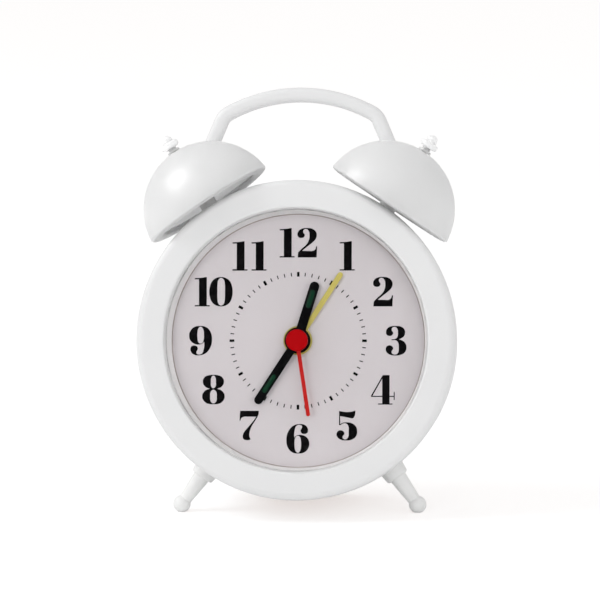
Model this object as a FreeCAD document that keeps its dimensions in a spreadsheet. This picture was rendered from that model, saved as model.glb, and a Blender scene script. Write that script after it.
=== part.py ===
import FreeCAD, Part
import math
import os

import Sketcher

# Twin-bell alarm clock with a quartz movement, standing on two ball feet and on
# the rear edge of its case.
#
# Clock frame: X to the right of the dial, Y up the dial, Z out of the dial towards
# the viewer, origin on the case axis in the plane of the rear rim.  The whole clock
# leans back by the angle at which both feet and the rear edge touch the table.

V = FreeCAD.Vector
doc = FreeCAD.newDocument("twin_bell_alarm_clock")

# Millimetres and degrees, except for tooth and copy counts.
SIZES = {
    # Case drum, open in front, with a rim for the rear cover
    "case_depth": 32.5,
    "case_step": 1.0,
    "case_draft": 0.3,
    "case_wall": 2.0,
    "case_edge_round": 1.2,
    "shelf_depth": 2.3,
    "shelf_thickness": 2.0,
    "shelf_width": 6.2,
    "rear_rim_wall": 2.0,
    "cover_recess": 0.4,
    "cover_thickness": 2.2,
    "cover_lip": 1.0,
    "cover_lip_thickness": 2.0,
    "static_clearance": 0.1,
    "running_clearance": 0.05,
    "loose_clearance": 0.2,
    "small_edge_round": 0.5,
    "radial_hole_depth": 8.0,
    # Front ring, lens, chapter ring and dial
    "ring_radius": 45.2,
    "ring_depth": 9.0,
    "ring_edge_round": 2.0,
    "ring_face_width": 7.9,
    "ring_opening_round": 0.6,
    "ring_taper": 0.3,
    "lens_depth": 2.8,
    "lens_thickness": 1.2,
    "lens_overlap": 1.2,
    "lens_edge_chamfer": 0.25,
    "chapter_inset": 0.5,
    "chapter_taper": 0.8,
    "chapter_undercut": 0.4,
    "chapter_undercut_width": 1.0,
    "dial_depth": 10.5,
    "dial_thickness": 0.8,
    "dial_edge_gap": 2.0,
    # Bells, their posts and finials
    "bell_plane_depth": 12.0,
    "bell_angle": 33.6,
    "bell_rise": 2.4,
    "bell_height": 17.85,
    "bell_radius": 19.5,
    "bell_wall": 1.2,
    "bell_bead_radius": 0.8,
    "post_radius": 2.5,
    "post_spigot_radius": 1.8,
    "post_seat_gap": 0.15,
    "bell_seat_gap": 0.22,
    "stud_radius": 0.7,
    "stud_length": 3.4,
    "finial_base_radius": 1.9,
    "finial_base_height": 0.6,
    "finial_neck_radius": 1.25,
    "finial_ring_radius": 2.7,
    "finial_ring_height": 2.3,
    "finial_ring_thickness": 1.9,
    "finial_ring_round": 0.86,
    "finial_ball_radius": 1.6,
    "finial_height": 5.4,
    # Arched handle standing on the bells
    "handle_setback": 4.5,
    "handle_rise": 28.25,
    "handle_arch_radius": 43.0,
    "handle_shoulder_radius": 5.0,
    "handle_splay": 23.0,
    "handle_foot_offset": 0.42,
    "handle_thickness": 4.2,
    "handle_width": 4.6,
    "handle_edge_round": 1.7,
    "handle_pin_radius": 1.2,
    "handle_pin_length": 2.4,
    "push_nut_radius": 2.6,
    "push_nut_thickness": 0.5,
    # Feet
    "foot_plane_depth": 17.0,
    "foot_angle": 36.0,
    "foot_length": 13.1,
    "foot_ball_radius": 2.5,
    "foot_sole_cut": 0.35,
    "foot_collar_radius": 3.7,
    "foot_collar_end_radius": 3.3,
    "foot_collar_height": 3.5,
    "foot_collar_round": 0.8,
    "foot_shank_top_radius": 2.45,
    "foot_shank_end_radius": 1.7,
    "foot_spigot_radius": 1.7,
    # Screws
    "screw_shank_radius": 1.2,
    "screw_head_radius": 2.3,
    "screw_head_height": 1.3,
    "screw_head_round": 0.65,
    "cover_screw_inset": 5.5,
    "cover_screw_length": 8.0,
    "boss_radius": 3.0,
    "boss_depth": 12.0,
    "inner_screw_length": 7.0,
    "ear_screw_inset": 4.6,
    "ear_screw_length": 3.0,
    # Movement: plates, levels of the train
    "plate_thickness": 1.5,
    "plate_half_width": 19.5,
    "plate_bottom": -9.8,
    "plate_top": 28.0,
    "plate_corner_round": 2.5,
    "bridge_top": 14.5,
    "plate_ear_half_height": 4.0,
    "plate_ear_inset": 3.4,
    "boss_flange_radius": 6.0,
    "nose_radius": 3.3,
    "nose_height": 0.8,
    "housing_wall": 1.2,
    "level_gap": 0.5,
    "level_step": 1.2,
    "wheel_thickness": 0.7,
    "train_distance": 9.0,
    "tooth_pressure_angle": 25.0,
    "tooth_addendum": 0.7,
    "tooth_dedendum": 0.95,
    "tooth_backlash": 0.09,
    "second_arbor_radius": 0.5,
    "tube_wall": 0.5,
    "arbor_radius": 0.8,
    "pivot_radius": 0.35,
    "second_distance": 6.0,
    "rotor_distance": 6.2,
    "intermediate_direction": 50.0,
    "rotor_direction": 60.0,
    "alarm_distance": 10.1,
    "alarm_direction": 110.0,
    "magnet_radius": 2.6,
    "magnet_thickness": 1.4,
    "motor_room": 2.5,
    # Hands, lengths from the centre of the dial
    "hand_thickness": 0.4,
    "hand_step": 1.0,
    "alarm_hand_height": 1.0,
    "hour_hand_length": 17.4,
    "hour_hand_width": 2.7,
    "hour_hand_angle": 17.3,
    "minute_hand_length": 21.3,
    "minute_hand_width": 2.4,
    "minute_hand_angle": 213.0,
    "second_hand_length": 21.7,
    "second_hand_width": 1.1,
    "second_hand_angle": 171.3,
    "alarm_hand_length": 22.9,
    "alarm_hand_width": 1.5,
    "alarm_hand_angle": 32.8,
    "alarm_hub_radius": 4.1,
    "hour_hub_radius": 3.7,
    "minute_hub_radius": 3.5,
    "second_cap_radius": 3.1,
    "second_cap_height": 1.0,
    "second_cap_round": 0.45,
    # Motor and electronics
    "magnet_gap": 0.5,
    "stator_thickness": 0.8,
    "stator_half_width": 4.4,
    "coil_radius": 2.9,
    "coil_length": 14.0,
    "coil_rise": 12.0,
    "board_width": 15.0,
    "board_height": 10.0,
    "board_thickness": 0.8,
    "board_centre_x": -10.5,
    "board_centre_y": 20.5,
    "crystal_radius": 1.0,
    "crystal_length": 6.0,
    "buzzer_radius": 8.0,
    "buzzer_height": 5.5,
    "buzzer_inset": 11.9,
    "buzzer_y": 5.0,
    # Battery, its tray and door
    "battery_radius": 7.1,
    "battery_length": 49.5,
    "battery_pip_radius": 2.6,
    "battery_pip_length": 1.0,
    "battery_clearance": 0.45,
    "tray_wall": 1.0,
    "contact_room": 2.6,
    "contact_thickness": 0.4,
    "contact_half_width": 5.7,
    "door_thickness": 1.5,
    "door_overlap": 1.6,
    "door_clearance": 0.2,
    "tray_top": -10.1,
    # Knobs and alarm switch on the rear
    "knob_radius": 5.6,
    "knob_height": 5.0,
    "knob_gap": 0.5,
    "knob_edge_round": 0.8,
    "knob_stem_radius": 1.8,
    "knob_flutes": 16,
    "knob_flute_radius": 0.7,
    "switch_y": 28.5,
    "switch_travel": 4.0,
    "switch_nib_width": 3.0,
    "switch_nib_height": 3.4,
    "switch_nib_reach": 1.8,
    "switch_plate_width": 12.0,
    "switch_plate_height": 6.0,
    "switch_plate_thickness": 1.2,
    "sound_slot_width": 1.2,
    "sound_slot_length": 9.0,
    "sound_slot_pitch": 2.6,
    "sound_slots": 4,
}


class Term:
    """A number together with the sheet formula that gives it."""

    def __init__(self, value, text):
        self.value = value
        self.text = text

    def __add__(self, other):
        other = term(other)
        return Term(self.value + other.value, f"({self.text} + {other.text})")

    def __sub__(self, other):
        other = term(other)
        return Term(self.value - other.value, f"({self.text} - {other.text})")

    def __mul__(self, other):
        other = term(other)
        return Term(self.value * other.value, f"({self.text} * {other.text})")

    def __truediv__(self, other):
        other = term(other)
        return Term(self.value / other.value, f"({self.text} / {other.text})")

    def __radd__(self, other):
        return term(other) + self

    def __rsub__(self, other):
        return term(other) - self

    def __rmul__(self, other):
        return term(other) * self

    def __neg__(self):
        return Term(-self.value, f"(0 - {self.text})")


def term(number):
    return number if isinstance(number, Term) else Term(float(number), f"{number:.9g}")


def sine(angle):
    return Term(math.sin(math.radians(angle.value)), f"sin({angle.text})")


def cosine(angle):
    return Term(math.cos(math.radians(angle.value)), f"cos({angle.text})")


def root(number):
    return Term(math.sqrt(number.value), f"sqrt({number.text})")


def arc_sine(number):
    return Term(math.degrees(math.asin(number.value)), f"(asin({number.text}) / 1 deg)")


def arc_tangent(rise, run):
    value = math.degrees(math.atan2(rise.value, run.value))
    return Term(value, f"(atan2({rise.text}; {run.text}) / 1 deg)")


def larger(first, second):
    return Term(max(first.value, second.value), f"max({first.text}; {second.text})")


class Sheet:
    """A spreadsheet whose aliased cells are read as attributes."""

    def __init__(self, name):
        self.cells = doc.addObject("Spreadsheet::Sheet", name)
        self.name = name
        self.rows = 0

    def put(self, alias, value, content):
        self.rows += 1
        self.cells.set(f"A{self.rows}", alias)
        self.cells.set(f"B{self.rows}", content)
        self.cells.setAlias(f"B{self.rows}", alias)
        setattr(self, alias, Term(value, f"{self.name}.{alias}"))

    def derive(self, alias, formula):
        self.put(alias, formula.value, f"={formula.text}")
        return getattr(self, alias)


S = Sheet("Sizes")
for alias, number in SIZES.items():
    S.put(alias, float(number), str(number))
L = Sheet("Layout")
doc.recompute()

# ---------------------------------------------------------------------------
# Layout: planes and distances that several pieces share

front = L.derive("front_face", S.case_depth + S.ring_depth)
dial_face = L.derive("dial_face", front - S.dial_depth)
dial_back = L.derive("dial_back", dial_face - S.dial_thickness)
shelf_back = L.derive("shelf_back", dial_back - S.shelf_thickness)
case_front = L.derive("case_front_radius", S.ring_radius - S.case_step)
case_rear = L.derive("case_rear_radius", case_front - S.case_draft)
case_inner = L.derive("case_inner_radius", case_rear - S.rear_rim_wall)
shelf_opening = L.derive("shelf_opening_radius", case_front - S.shelf_width)
dial_radius = L.derive("dial_radius", case_front - S.case_wall - S.dial_edge_gap)
ring_opening = L.derive("ring_opening_radius", S.ring_radius - S.ring_face_width)
lens_radius = L.derive("lens_radius", ring_opening + S.lens_overlap)
chapter_front = L.derive("chapter_front_radius", ring_opening - S.chapter_inset)
chapter_rear = L.derive("chapter_rear_radius", chapter_front - S.chapter_taper)
cover_screw_distance = L.derive("cover_screw_distance", case_rear - S.cover_screw_inset)
ear_screw_distance = L.derive("ear_screw_distance", case_front - S.ear_screw_inset)
plate_ear_reach = L.derive("plate_ear_reach", case_front - S.plate_ear_inset)
buzzer_x = L.derive("buzzer_x", case_inner - S.buzzer_inset)
bell_rim_distance = L.derive("bell_rim_distance", case_front + S.bell_rise)
foot_ball_distance = L.derive("foot_ball_distance", case_front + S.foot_length)
handle_top = L.derive("handle_top", case_front + S.handle_rise)
cover_inner = L.derive("cover_inner_face", S.cover_recess + S.cover_thickness)
cover_radius = L.derive("cover_radius", case_inner - S.static_clearance)
lip_radius = L.derive("lip_radius", case_inner - S.cover_lip)
plate_back = L.derive("plate_back", shelf_back - S.plate_thickness)
bell_plane = L.derive("bell_plane", front - S.bell_plane_depth)
bell_centre = L.derive("bell_centre", bell_rim_distance + S.bell_height - S.bell_radius)
bell_apex = L.derive("bell_apex", bell_centre + S.bell_radius)
foot_plane = L.derive("foot_plane", front - S.foot_plane_depth)

# The lean puts the soles of the balls and the rounded rear edge of the case at one
# level: a sum of a sine and a cosine of the lean that equals a known rise.
foot_drop = foot_ball_distance * cosine(S.foot_angle)
edge_drop = case_rear - S.case_edge_round
lean_run = foot_plane - S.case_edge_round
lean_fall = edge_drop - foot_drop
lean_rise = S.foot_ball_radius - S.foot_sole_cut - S.case_edge_round
lean_hypotenuse = root(lean_run * lean_run + lean_fall * lean_fall)
lean = L.derive(
    "lean",
    arc_sine(lean_rise / lean_hypotenuse) - arc_tangent(lean_fall, lean_run),
)
axis_height = L.derive(
    "axis_height",
    edge_drop * cosine(lean) - S.case_edge_round * sine(lean) + S.case_edge_round,
)

# Depth of the front of the ring and of the rearmost knob or edge, for the origin
ring_corner = S.ring_radius - S.ring_edge_round
front_reach = (
    ring_corner * sine(lean)
    + (front - S.ring_edge_round) * cosine(lean)
    + S.ring_edge_round
)
alarm_x = L.derive("alarm_x", S.alarm_distance * cosine(S.alarm_direction))
alarm_y = L.derive("alarm_y", S.alarm_distance * sine(S.alarm_direction))
knob_back = L.derive("knob_back", S.knob_gap + S.knob_height - S.cover_recess)
knob_top = alarm_y + S.knob_radius - S.knob_edge_round
knob_reach = (
    knob_top * sine(lean)
    + (knob_back - S.knob_edge_round) * cosine(lean)
    + S.knob_edge_round
)
edge_reach = (
    edge_drop * sine(lean) - S.case_edge_round * cosine(lean) + S.case_edge_round
)
axis_depth = L.derive(
    "axis_depth", (front_reach - larger(knob_reach, edge_reach)) / 2
)
doc.recompute()


def placement_text(x=0, y=0, z=0, axis=(0, 0, 1), angle=0):
    """Formula of a placement: a shift and a turn about an axis."""
    shift = "; ".join(term(part).text for part in (x, y, z))
    turn = "; ".join(str(part) for part in axis)
    return (
        f"create(<<placement>>; create(<<vector>>; {shift}); "
        f"create(<<rotation>>; create(<<vector>>; {turn}); {term(angle).text}))"
    )


CLOCK = placement_text(0, axis_depth, axis_height, (1, 0, 0), 90 - lean)


def clock_placement():
    turn = FreeCAD.Rotation(V(1, 0, 0), 90 - lean.value)
    return FreeCAD.Placement(V(0, axis_depth.value, axis_height.value), turn)


def place(piece, local=None):
    """Bind a piece's placement to the clock frame, after a placement in that frame."""
    text = CLOCK if local is None else f"{CLOCK} * {local}"
    piece.setExpression("Placement", text)


# ---------------------------------------------------------------------------
# Helpers for sketched pieces

pieces = []


def new_body(label, local=None):
    body = doc.addObject("PartDesign::Body", label)
    body.Label = label
    place(body, local)
    pieces.append(body)
    return body


def attach(feature, body, role):
    """Put a sketch or primitive on one of the body's own origin planes."""
    plane = next(f for f in body.Origin.OriginFeatures if f.Role == role)
    feature.AttachmentSupport = [(plane, "")]
    feature.MapMode = "FlatFace"


def bind(feature, path, value):
    feature.setExpression(path, term(value).text)


def constrain(sketch, kind, *where, value=None):
    """Add a constraint, and bind it to a formula when it has a value."""
    if value is None:
        return sketch.addConstraint(Sketcher.Constraint(kind, *where))
    value = term(value)
    index = sketch.addConstraint(Sketcher.Constraint(kind, *where, value.value))
    bind(sketch, f"Constraints[{index}]", value)
    return index


def fix_point(sketch, geometry, vertex, x, y):
    constrain(sketch, "DistanceX", -1, 1, geometry, vertex, value=x)
    constrain(sketch, "DistanceY", -1, 1, geometry, vertex, value=y)


def draw_outline(sketch, corners):
    """Closed outline through (x, y) or (x, y, fillet radius) corners, dimensioned."""
    count = len(corners)
    points = [V(term(c[0]).value, term(c[1]).value, 0) for c in corners]
    starts = list(points)
    ends = list(points)
    arcs = {}
    for index, corner in enumerate(corners):
        if len(corner) < 3:
            continue
        here = points[index]
        before = (points[index - 1] - here).normalize()
        after = (points[(index + 1) % count] - here).normalize()
        half = before.getAngle(after) / 2
        radius = term(corner[2]).value
        reach = radius / math.tan(half)
        centre = here + (before + after).normalize() * (radius / math.sin(half))
        ends[index] = here + before * reach
        starts[index] = here + after * reach
        first = math.atan2(ends[index].y - centre.y, ends[index].x - centre.x)
        last = math.atan2(starts[index].y - centre.y, starts[index].x - centre.x)
        left_turn = before.cross(after).z < 0
        low, high = (first, last) if left_turn else (last, first)
        high += 2 * math.pi if high < low else 0
        circle = Part.Circle(centre, V(0, 0, 1), radius)
        arcs[index] = (Part.ArcOfCircle(circle, low, high), left_turn)
    lines = []
    for index in range(count):
        line = Part.LineSegment(starts[index], ends[(index + 1) % count])
        lines.append(sketch.addGeometry(line, False))
    for index, corner in enumerate(corners):
        entering = lines[index - 1]
        leaving = lines[index]
        if index not in arcs:
            constrain(sketch, "Coincident", entering, 2, leaving, 1)
            fix_point(sketch, leaving, 1, corner[0], corner[1])
            continue
        shape, left_turn = arcs[index]
        arc = sketch.addGeometry(shape, False)
        mark = sketch.addGeometry(Part.Point(points[index]), True)
        constrain(sketch, "Tangent", entering, 2, arc, 1 if left_turn else 2)
        constrain(sketch, "Tangent", leaving, 1, arc, 2 if left_turn else 1)
        constrain(sketch, "PointOnObject", mark, 1, entering)
        constrain(sketch, "PointOnObject", mark, 1, leaving)
        fix_point(sketch, mark, 1, corner[0], corner[1])
        constrain(sketch, "Radius", arc, value=corner[2])


def draw_circles(sketch, circles):
    """Circles given as (x, y, radius)."""
    for x, y, radius in circles:
        centre = V(term(x).value, term(y).value, 0)
        circle = Part.Circle(centre, V(0, 0, 1), term(radius).value)
        index = sketch.addGeometry(circle, False)
        fix_point(sketch, index, 3, x, y)
        constrain(sketch, "Radius", index, value=radius)


def new_sketch(body, name, role="XY_Plane", offset=0):
    sketch = body.newObject("Sketcher::SketchObject", name)
    attach(sketch, body, role)
    bind(sketch, "AttachmentOffset.Base.z", offset)
    return sketch


def revolve(body, name, corners, cut=False):
    """Turn a half profile of (radius, height) corners about the body's Z axis."""
    sketch = new_sketch(body, f"{name}_profile", "XZ_Plane")
    draw_outline(sketch, corners)
    kind = "PartDesign::Groove" if cut else "PartDesign::Revolution"
    feature = body.newObject(kind, name)
    feature.Profile = sketch
    feature.ReferenceAxis = (sketch, ["V_Axis"])
    feature.Angle = 360
    return feature


def extrude(body, name, base, length, corners=None, circles=(), cut=False):
    """Pad from z = base upwards, or pocket over the same span, by length."""
    sketch = new_sketch(body, f"{name}_sketch", offset=base)
    if corners:
        draw_outline(sketch, corners)
    draw_circles(sketch, circles)
    feature = body.newObject("PartDesign::Pocket" if cut else "PartDesign::Pad", name)
    feature.Profile = sketch
    feature.Reversed = cut
    bind(feature, "Length", length)
    return feature


def repeat(body, name, features, count):
    """Copies of features turned about the body's Z axis."""
    pattern = body.newObject("PartDesign::PolarPattern", name)
    pattern.Originals = features
    pattern.Axis = (features[0].Profile[0], ["N_Axis"])
    pattern.Angle = 360
    bind(pattern, "Occurrences", count)
    body.Tip = pattern
    return pattern


def box_corners(left, right, bottom, top, *fillet):
    return [
        (left, bottom, *fillet),
        (right, bottom, *fillet),
        (right, top, *fillet),
        (left, top, *fillet),
    ]


def sphere(body, name, radius, offset, cut=False, low_angle=None):
    kind = "PartDesign::SubtractiveSphere" if cut else "PartDesign::AdditiveSphere"
    feature = body.newObject(kind, name)
    attach(feature, body, "XY_Plane")
    for axis, distance in zip("xyz", offset):
        bind(feature, f"AttachmentOffset.Base.{axis}", distance)
    bind(feature, "Radius", radius)
    if low_angle is not None:
        bind(feature, "Angle1", low_angle)
    return feature


# ---------------------------------------------------------------------------
# Case: a moulded drum with an inner shelf for the dial, a lip and three bosses for
# the rear cover, and radial holes for the bell posts and the feet

case = new_body("case_body")
revolve(case, "case_drum", [
    (case_rear, 0, S.case_edge_round),
    (case_front, S.case_depth),
    (case_front - S.case_wall, S.case_depth),
    (case_front - S.case_wall, dial_back),
    (shelf_opening, dial_back),
    (shelf_opening, shelf_back),
    (case_front - S.case_wall, shelf_back),
    (case_inner, cover_inner + S.cover_lip_thickness),
    (lip_radius, cover_inner + S.cover_lip_thickness),
    (lip_radius, cover_inner),
    (case_inner, cover_inner),
    (case_inner, 0),
])
doc.recompute()
boss = extrude(
    case, "cover_boss", cover_inner, S.boss_depth,
    corners=box_corners(
        -S.boss_radius, S.boss_radius,
        cover_screw_distance - S.boss_radius, case_inner + S.loose_clearance,
    ),
)
doc.recompute()
boss_hole = extrude(
    case, "cover_boss_hole", cover_inner, S.boss_depth - S.case_wall,
    circles=[(0, cover_screw_distance, S.screw_shank_radius)], cut=True,
)
repeat(case, "cover_bosses", [boss, boss_hole], 3)
doc.recompute()


def radial_hole(body, name, radius, angle, plane, start, depth):
    """Hole along a direction at an angle from the top, from a distance outwards."""
    feature = body.newObject("PartDesign::SubtractiveCylinder", name)
    attach(feature, body, "XY_Plane")
    bind(feature, "Radius", radius)
    bind(feature, "Height", depth)
    turned = placement_text(
        start * sine(angle), start * cosine(angle), plane, (0, 0, 1), -angle,
    )
    upright = placement_text(axis=(1, 0, 0), angle=-90)
    feature.setExpression("AttachmentOffset", f"{turned} * {upright}")
    return feature


SIDES = (("left", -1), ("right", 1))
foot_direction = 180 - S.foot_angle
post_hole_radius = S.post_spigot_radius + S.static_clearance
foot_hole_radius = S.foot_spigot_radius + S.static_clearance
# The screw heads of the bell posts need a notch in the shelf and in the ring's spigot
notch_radius = S.screw_head_radius + S.loose_clearance
notch_start = case_inner - S.screw_head_height - S.loose_clearance
notch_depth = case_front - S.case_wall - notch_start + S.static_clearance
for side, sign in SIDES:
    radial_hole(
        case, f"post_hole_{side}", post_hole_radius, S.bell_angle * sign, bell_plane,
        notch_start, S.radial_hole_depth,
    )
    radial_hole(
        case, f"post_notch_{side}", notch_radius, S.bell_angle * sign, bell_plane,
        notch_start, notch_depth,
    )
    radial_hole(
        case, f"foot_hole_{side}", foot_hole_radius, foot_direction * sign, foot_plane,
        notch_start, S.radial_hole_depth,
    )
doc.recompute()
extrude(
    case, "ear_screw_holes", shelf_back, S.shelf_thickness, cut=True,
    circles=[
        (ear_screw_distance, 0, S.screw_shank_radius),
        (-ear_screw_distance, 0, S.screw_shank_radius),
    ],
)
doc.recompute()

# ---------------------------------------------------------------------------
# Front ring: plain flat face with a rounded outer edge, its spigot clamping the dial

bezel = new_body("front_bezel")
lens_front = L.derive("lens_front", front - S.lens_depth)
lens_back = L.derive("lens_back", lens_front - S.lens_thickness)
seat_radius = L.derive("lens_seat_radius", lens_radius + S.static_clearance)
spigot_radius = case_front - S.case_wall - S.static_clearance
revolve(bezel, "bezel_ring", [
    (S.ring_radius, front, S.ring_edge_round),
    (ring_opening, front, S.ring_opening_round),
    (ring_opening - S.ring_taper, lens_front),
    (seat_radius, lens_front),
    (seat_radius, dial_face),
    (spigot_radius, dial_face),
    (spigot_radius, S.case_depth),
    (S.ring_radius, S.case_depth, S.small_edge_round),
])
doc.recompute()
for side, sign in SIDES:
    radial_hole(
        bezel, f"bezel_notch_{side}", notch_radius, S.bell_angle * sign, bell_plane,
        notch_start, notch_depth,
    )
doc.recompute()

lens = new_body("lens")
revolve(lens, "lens_disc", [
    (0, lens_back),
    (lens_radius, lens_back),
    (lens_radius, lens_front - S.lens_edge_chamfer),
    (lens_radius - S.lens_edge_chamfer, lens_front),
    (0, lens_front),
])

chapter = new_body("chapter_ring")
revolve(chapter, "chapter_wall", [
    (lens_radius, dial_face),
    (lens_radius, lens_back),
    (chapter_front, lens_back),
    (chapter_rear, dial_face + S.chapter_undercut),
    (chapter_rear + S.chapter_undercut_width, dial_face + S.chapter_undercut),
    (chapter_rear + S.chapter_undercut_width, dial_face),
])

dial = new_body("dial")
nose_hole = S.nose_radius + S.static_clearance
extrude(
    dial, "dial_disc", dial_back, S.dial_thickness,
    circles=[(0, 0, dial_radius), (0, 0, nose_hole)],
)
doc.recompute()

# ---------------------------------------------------------------------------
# Rear cover: disc with the battery tray, knob holes, switch slot and sound slots

tray_half = L.derive(
    "tray_half_length",
    (S.battery_length + S.battery_pip_length) / 2 + S.contact_room,
)
battery_y = L.derive(
    "battery_y", S.tray_top - S.tray_wall - S.battery_clearance - S.battery_radius
)
tray_room = S.battery_radius + S.battery_clearance
tray_bottom = L.derive("tray_bottom", battery_y - tray_room)
tray_ceiling = L.derive("tray_ceiling", battery_y + tray_room)
door_inner = L.derive("door_inner_face", S.cover_recess + S.door_thickness)
battery_z = L.derive("battery_z", door_inner + tray_room)
tray_floor = L.derive("tray_floor", battery_z + tray_room)
stem_hole = S.knob_stem_radius + S.loose_clearance

cover = new_body("rear_cover")
extrude(cover, "cover_disc", S.cover_recess, S.cover_thickness,
        circles=[(0, 0, cover_radius)])
extrude(
    cover, "tray_block", cover_inner - S.cover_thickness / 2,
    tray_floor + S.tray_wall - cover_inner + S.cover_thickness / 2,
    corners=box_corners(
        -tray_half - S.tray_wall, tray_half + S.tray_wall,
        tray_bottom - S.tray_wall, tray_ceiling + S.tray_wall,
    ),
)
doc.recompute()
extrude(
    cover, "tray_cavity", S.cover_recess, tray_floor - S.cover_recess, cut=True,
    corners=box_corners(-tray_half, tray_half, tray_bottom, tray_ceiling),
)
extrude(
    cover, "door_seat", S.cover_recess, S.door_thickness, cut=True,
    corners=box_corners(
        -tray_half - S.door_overlap, tray_half + S.door_overlap,
        tray_bottom - S.door_overlap, tray_ceiling + S.door_overlap,
    ),
)
doc.recompute()
extrude(
    cover, "knob_holes", S.cover_recess, S.cover_thickness, cut=True,
    circles=[(S.train_distance, 0, stem_hole), (alarm_x, alarm_y, stem_hole)],
)
switch_slot_left = -S.switch_nib_width / 2 - S.static_clearance
switch_slot_right = -switch_slot_left + S.switch_travel
switch_slot_half = S.switch_nib_height / 2 + S.static_clearance
extrude(
    cover, "switch_slot", S.cover_recess, S.cover_thickness, cut=True,
    corners=box_corners(
        switch_slot_left, switch_slot_right,
        S.switch_y - switch_slot_half, S.switch_y + switch_slot_half,
    ),
)
doc.recompute()
slot = extrude(
    cover, "sound_slot", S.cover_recess, S.cover_thickness, cut=True,
    corners=box_corners(
        buzzer_x - S.sound_slot_length / 2, buzzer_x + S.sound_slot_length / 2,
        S.buzzer_y - S.sound_slot_pitch * 1.5 - S.sound_slot_width / 2,
        S.buzzer_y - S.sound_slot_pitch * 1.5 + S.sound_slot_width / 2,
    ),
)
doc.recompute()
slots = cover.newObject("PartDesign::LinearPattern", "sound_slots")
slots.Originals = [slot]
slots.Direction = (slot.Profile[0], ["V_Axis"])
bind(slots, "Occurrences", S.sound_slots)
bind(slots, "Length", S.sound_slot_pitch * (S.sound_slots - 1))
cover.Tip = slots
doc.recompute()
screw_hole = extrude(
    cover, "cover_screw_hole", S.cover_recess, S.cover_thickness, cut=True,
    circles=[(0, cover_screw_distance, S.screw_shank_radius + S.static_clearance)],
)
repeat(cover, "cover_screw_holes", [screw_hole], 3)
doc.recompute()

door = new_body("battery_cover")
door_play = S.door_overlap - S.door_clearance
extrude(
    door, "door_plate", S.cover_recess, S.door_thickness - S.static_clearance,
    corners=box_corners(
        -tray_half - door_play, tray_half + door_play,
        tray_bottom - door_play, tray_ceiling + door_play, S.small_edge_round,
    ),
)
doc.recompute()

# ---------------------------------------------------------------------------
# Battery, lying across the clock, with its pip to the right, and its two contacts

battery = new_body("battery", placement_text(
    -(S.battery_length + S.battery_pip_length) / 2, battery_y, battery_z,
    (0, 1, 0), 90,
))
pip_end = S.battery_length + S.battery_pip_length
revolve(battery, "battery_can", [
    (0, 0),
    (S.battery_radius, 0, S.small_edge_round),
    (S.battery_radius, S.battery_length, S.small_edge_round),
    (S.battery_pip_radius, S.battery_length),
    (S.battery_pip_radius, pip_end),
    (0, pip_end),
])

battery_end = (S.battery_length + S.battery_pip_length) / 2
for name, sign in (("battery_contact_minus", -1), ("battery_contact_plus", 1)):
    contact = new_body(name, placement_text(
        0, battery_y - S.contact_half_width, battery_z, (1, 0, 0), -90,
    ))
    # Bent strip: a flat tab on the tray wall with a sprung nose at the battery
    wall_face = (tray_half - S.static_clearance) * sign
    wall_inner = (tray_half - S.static_clearance - S.contact_thickness) * sign
    nose_face = (battery_end + S.running_clearance) * sign
    nose_inner = (battery_end + S.running_clearance + S.contact_thickness) * sign
    extrude(contact, f"{name}_strip", 0, S.contact_half_width * 2, corners=[
        (wall_face, -S.contact_half_width),
        (wall_face, S.contact_half_width),
        (wall_inner, S.contact_half_width),
        (nose_face, S.battery_pip_radius / 2),
        (nose_face, -S.battery_pip_radius / 2),
        (nose_inner, -S.battery_pip_radius / 2),
        (nose_inner, S.battery_pip_radius / 2 - S.contact_thickness),
        (wall_inner, S.contact_half_width - S.contact_thickness * 3),
        (wall_inner, -S.contact_half_width),
    ])
doc.recompute()

# ---------------------------------------------------------------------------
# Bells on turned posts, each held by a finial screwed onto the post's stud

def radial_frame(angle, plane):
    """Frame on the case axis whose Z runs outwards at an angle from the top."""
    turned = placement_text(0, 0, plane, (0, 0, 1), -angle)
    upright = placement_text(axis=(1, 0, 0), angle=-90)
    return f"{turned} * {upright}"


# Where a leg of the handle stands on the dome, in the clock frame
bell_x = L.derive("bell_x", bell_centre * sine(S.bell_angle))
bell_y = L.derive("bell_y", bell_centre * cosine(S.bell_angle))
foot_dx = S.handle_foot_offset
handle_foot_reach = L.derive("handle_foot_reach", bell_x + foot_dx)
foot_rise = root(
    S.bell_radius * S.bell_radius
    - foot_dx * foot_dx
    - S.handle_setback * S.handle_setback
)
leg_y = L.derive("leg_y", bell_y + foot_rise)
# The same direction, from the centre of the dome, in the frame of the bell
pin_across = foot_dx * cosine(S.bell_angle) - foot_rise * sine(S.bell_angle)
pin_along = foot_dx * sine(S.bell_angle) + foot_rise * cosine(S.bell_angle)
pin_tilt = L.derive("pin_tilt", arc_sine(S.handle_setback / S.bell_radius))
pin_swing = L.derive("pin_swing", arc_tangent(pin_across, pin_along))


def pin_frame(sign):
    """Frame in the bell, at the dome's centre, with Z through the handle's pin."""
    centred = placement_text(0, 0, bell_centre, (0, 1, 0), pin_swing * sign)
    return f"{centred} * {placement_text(axis=(1, 0, 0), angle=-pin_tilt)}"


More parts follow.
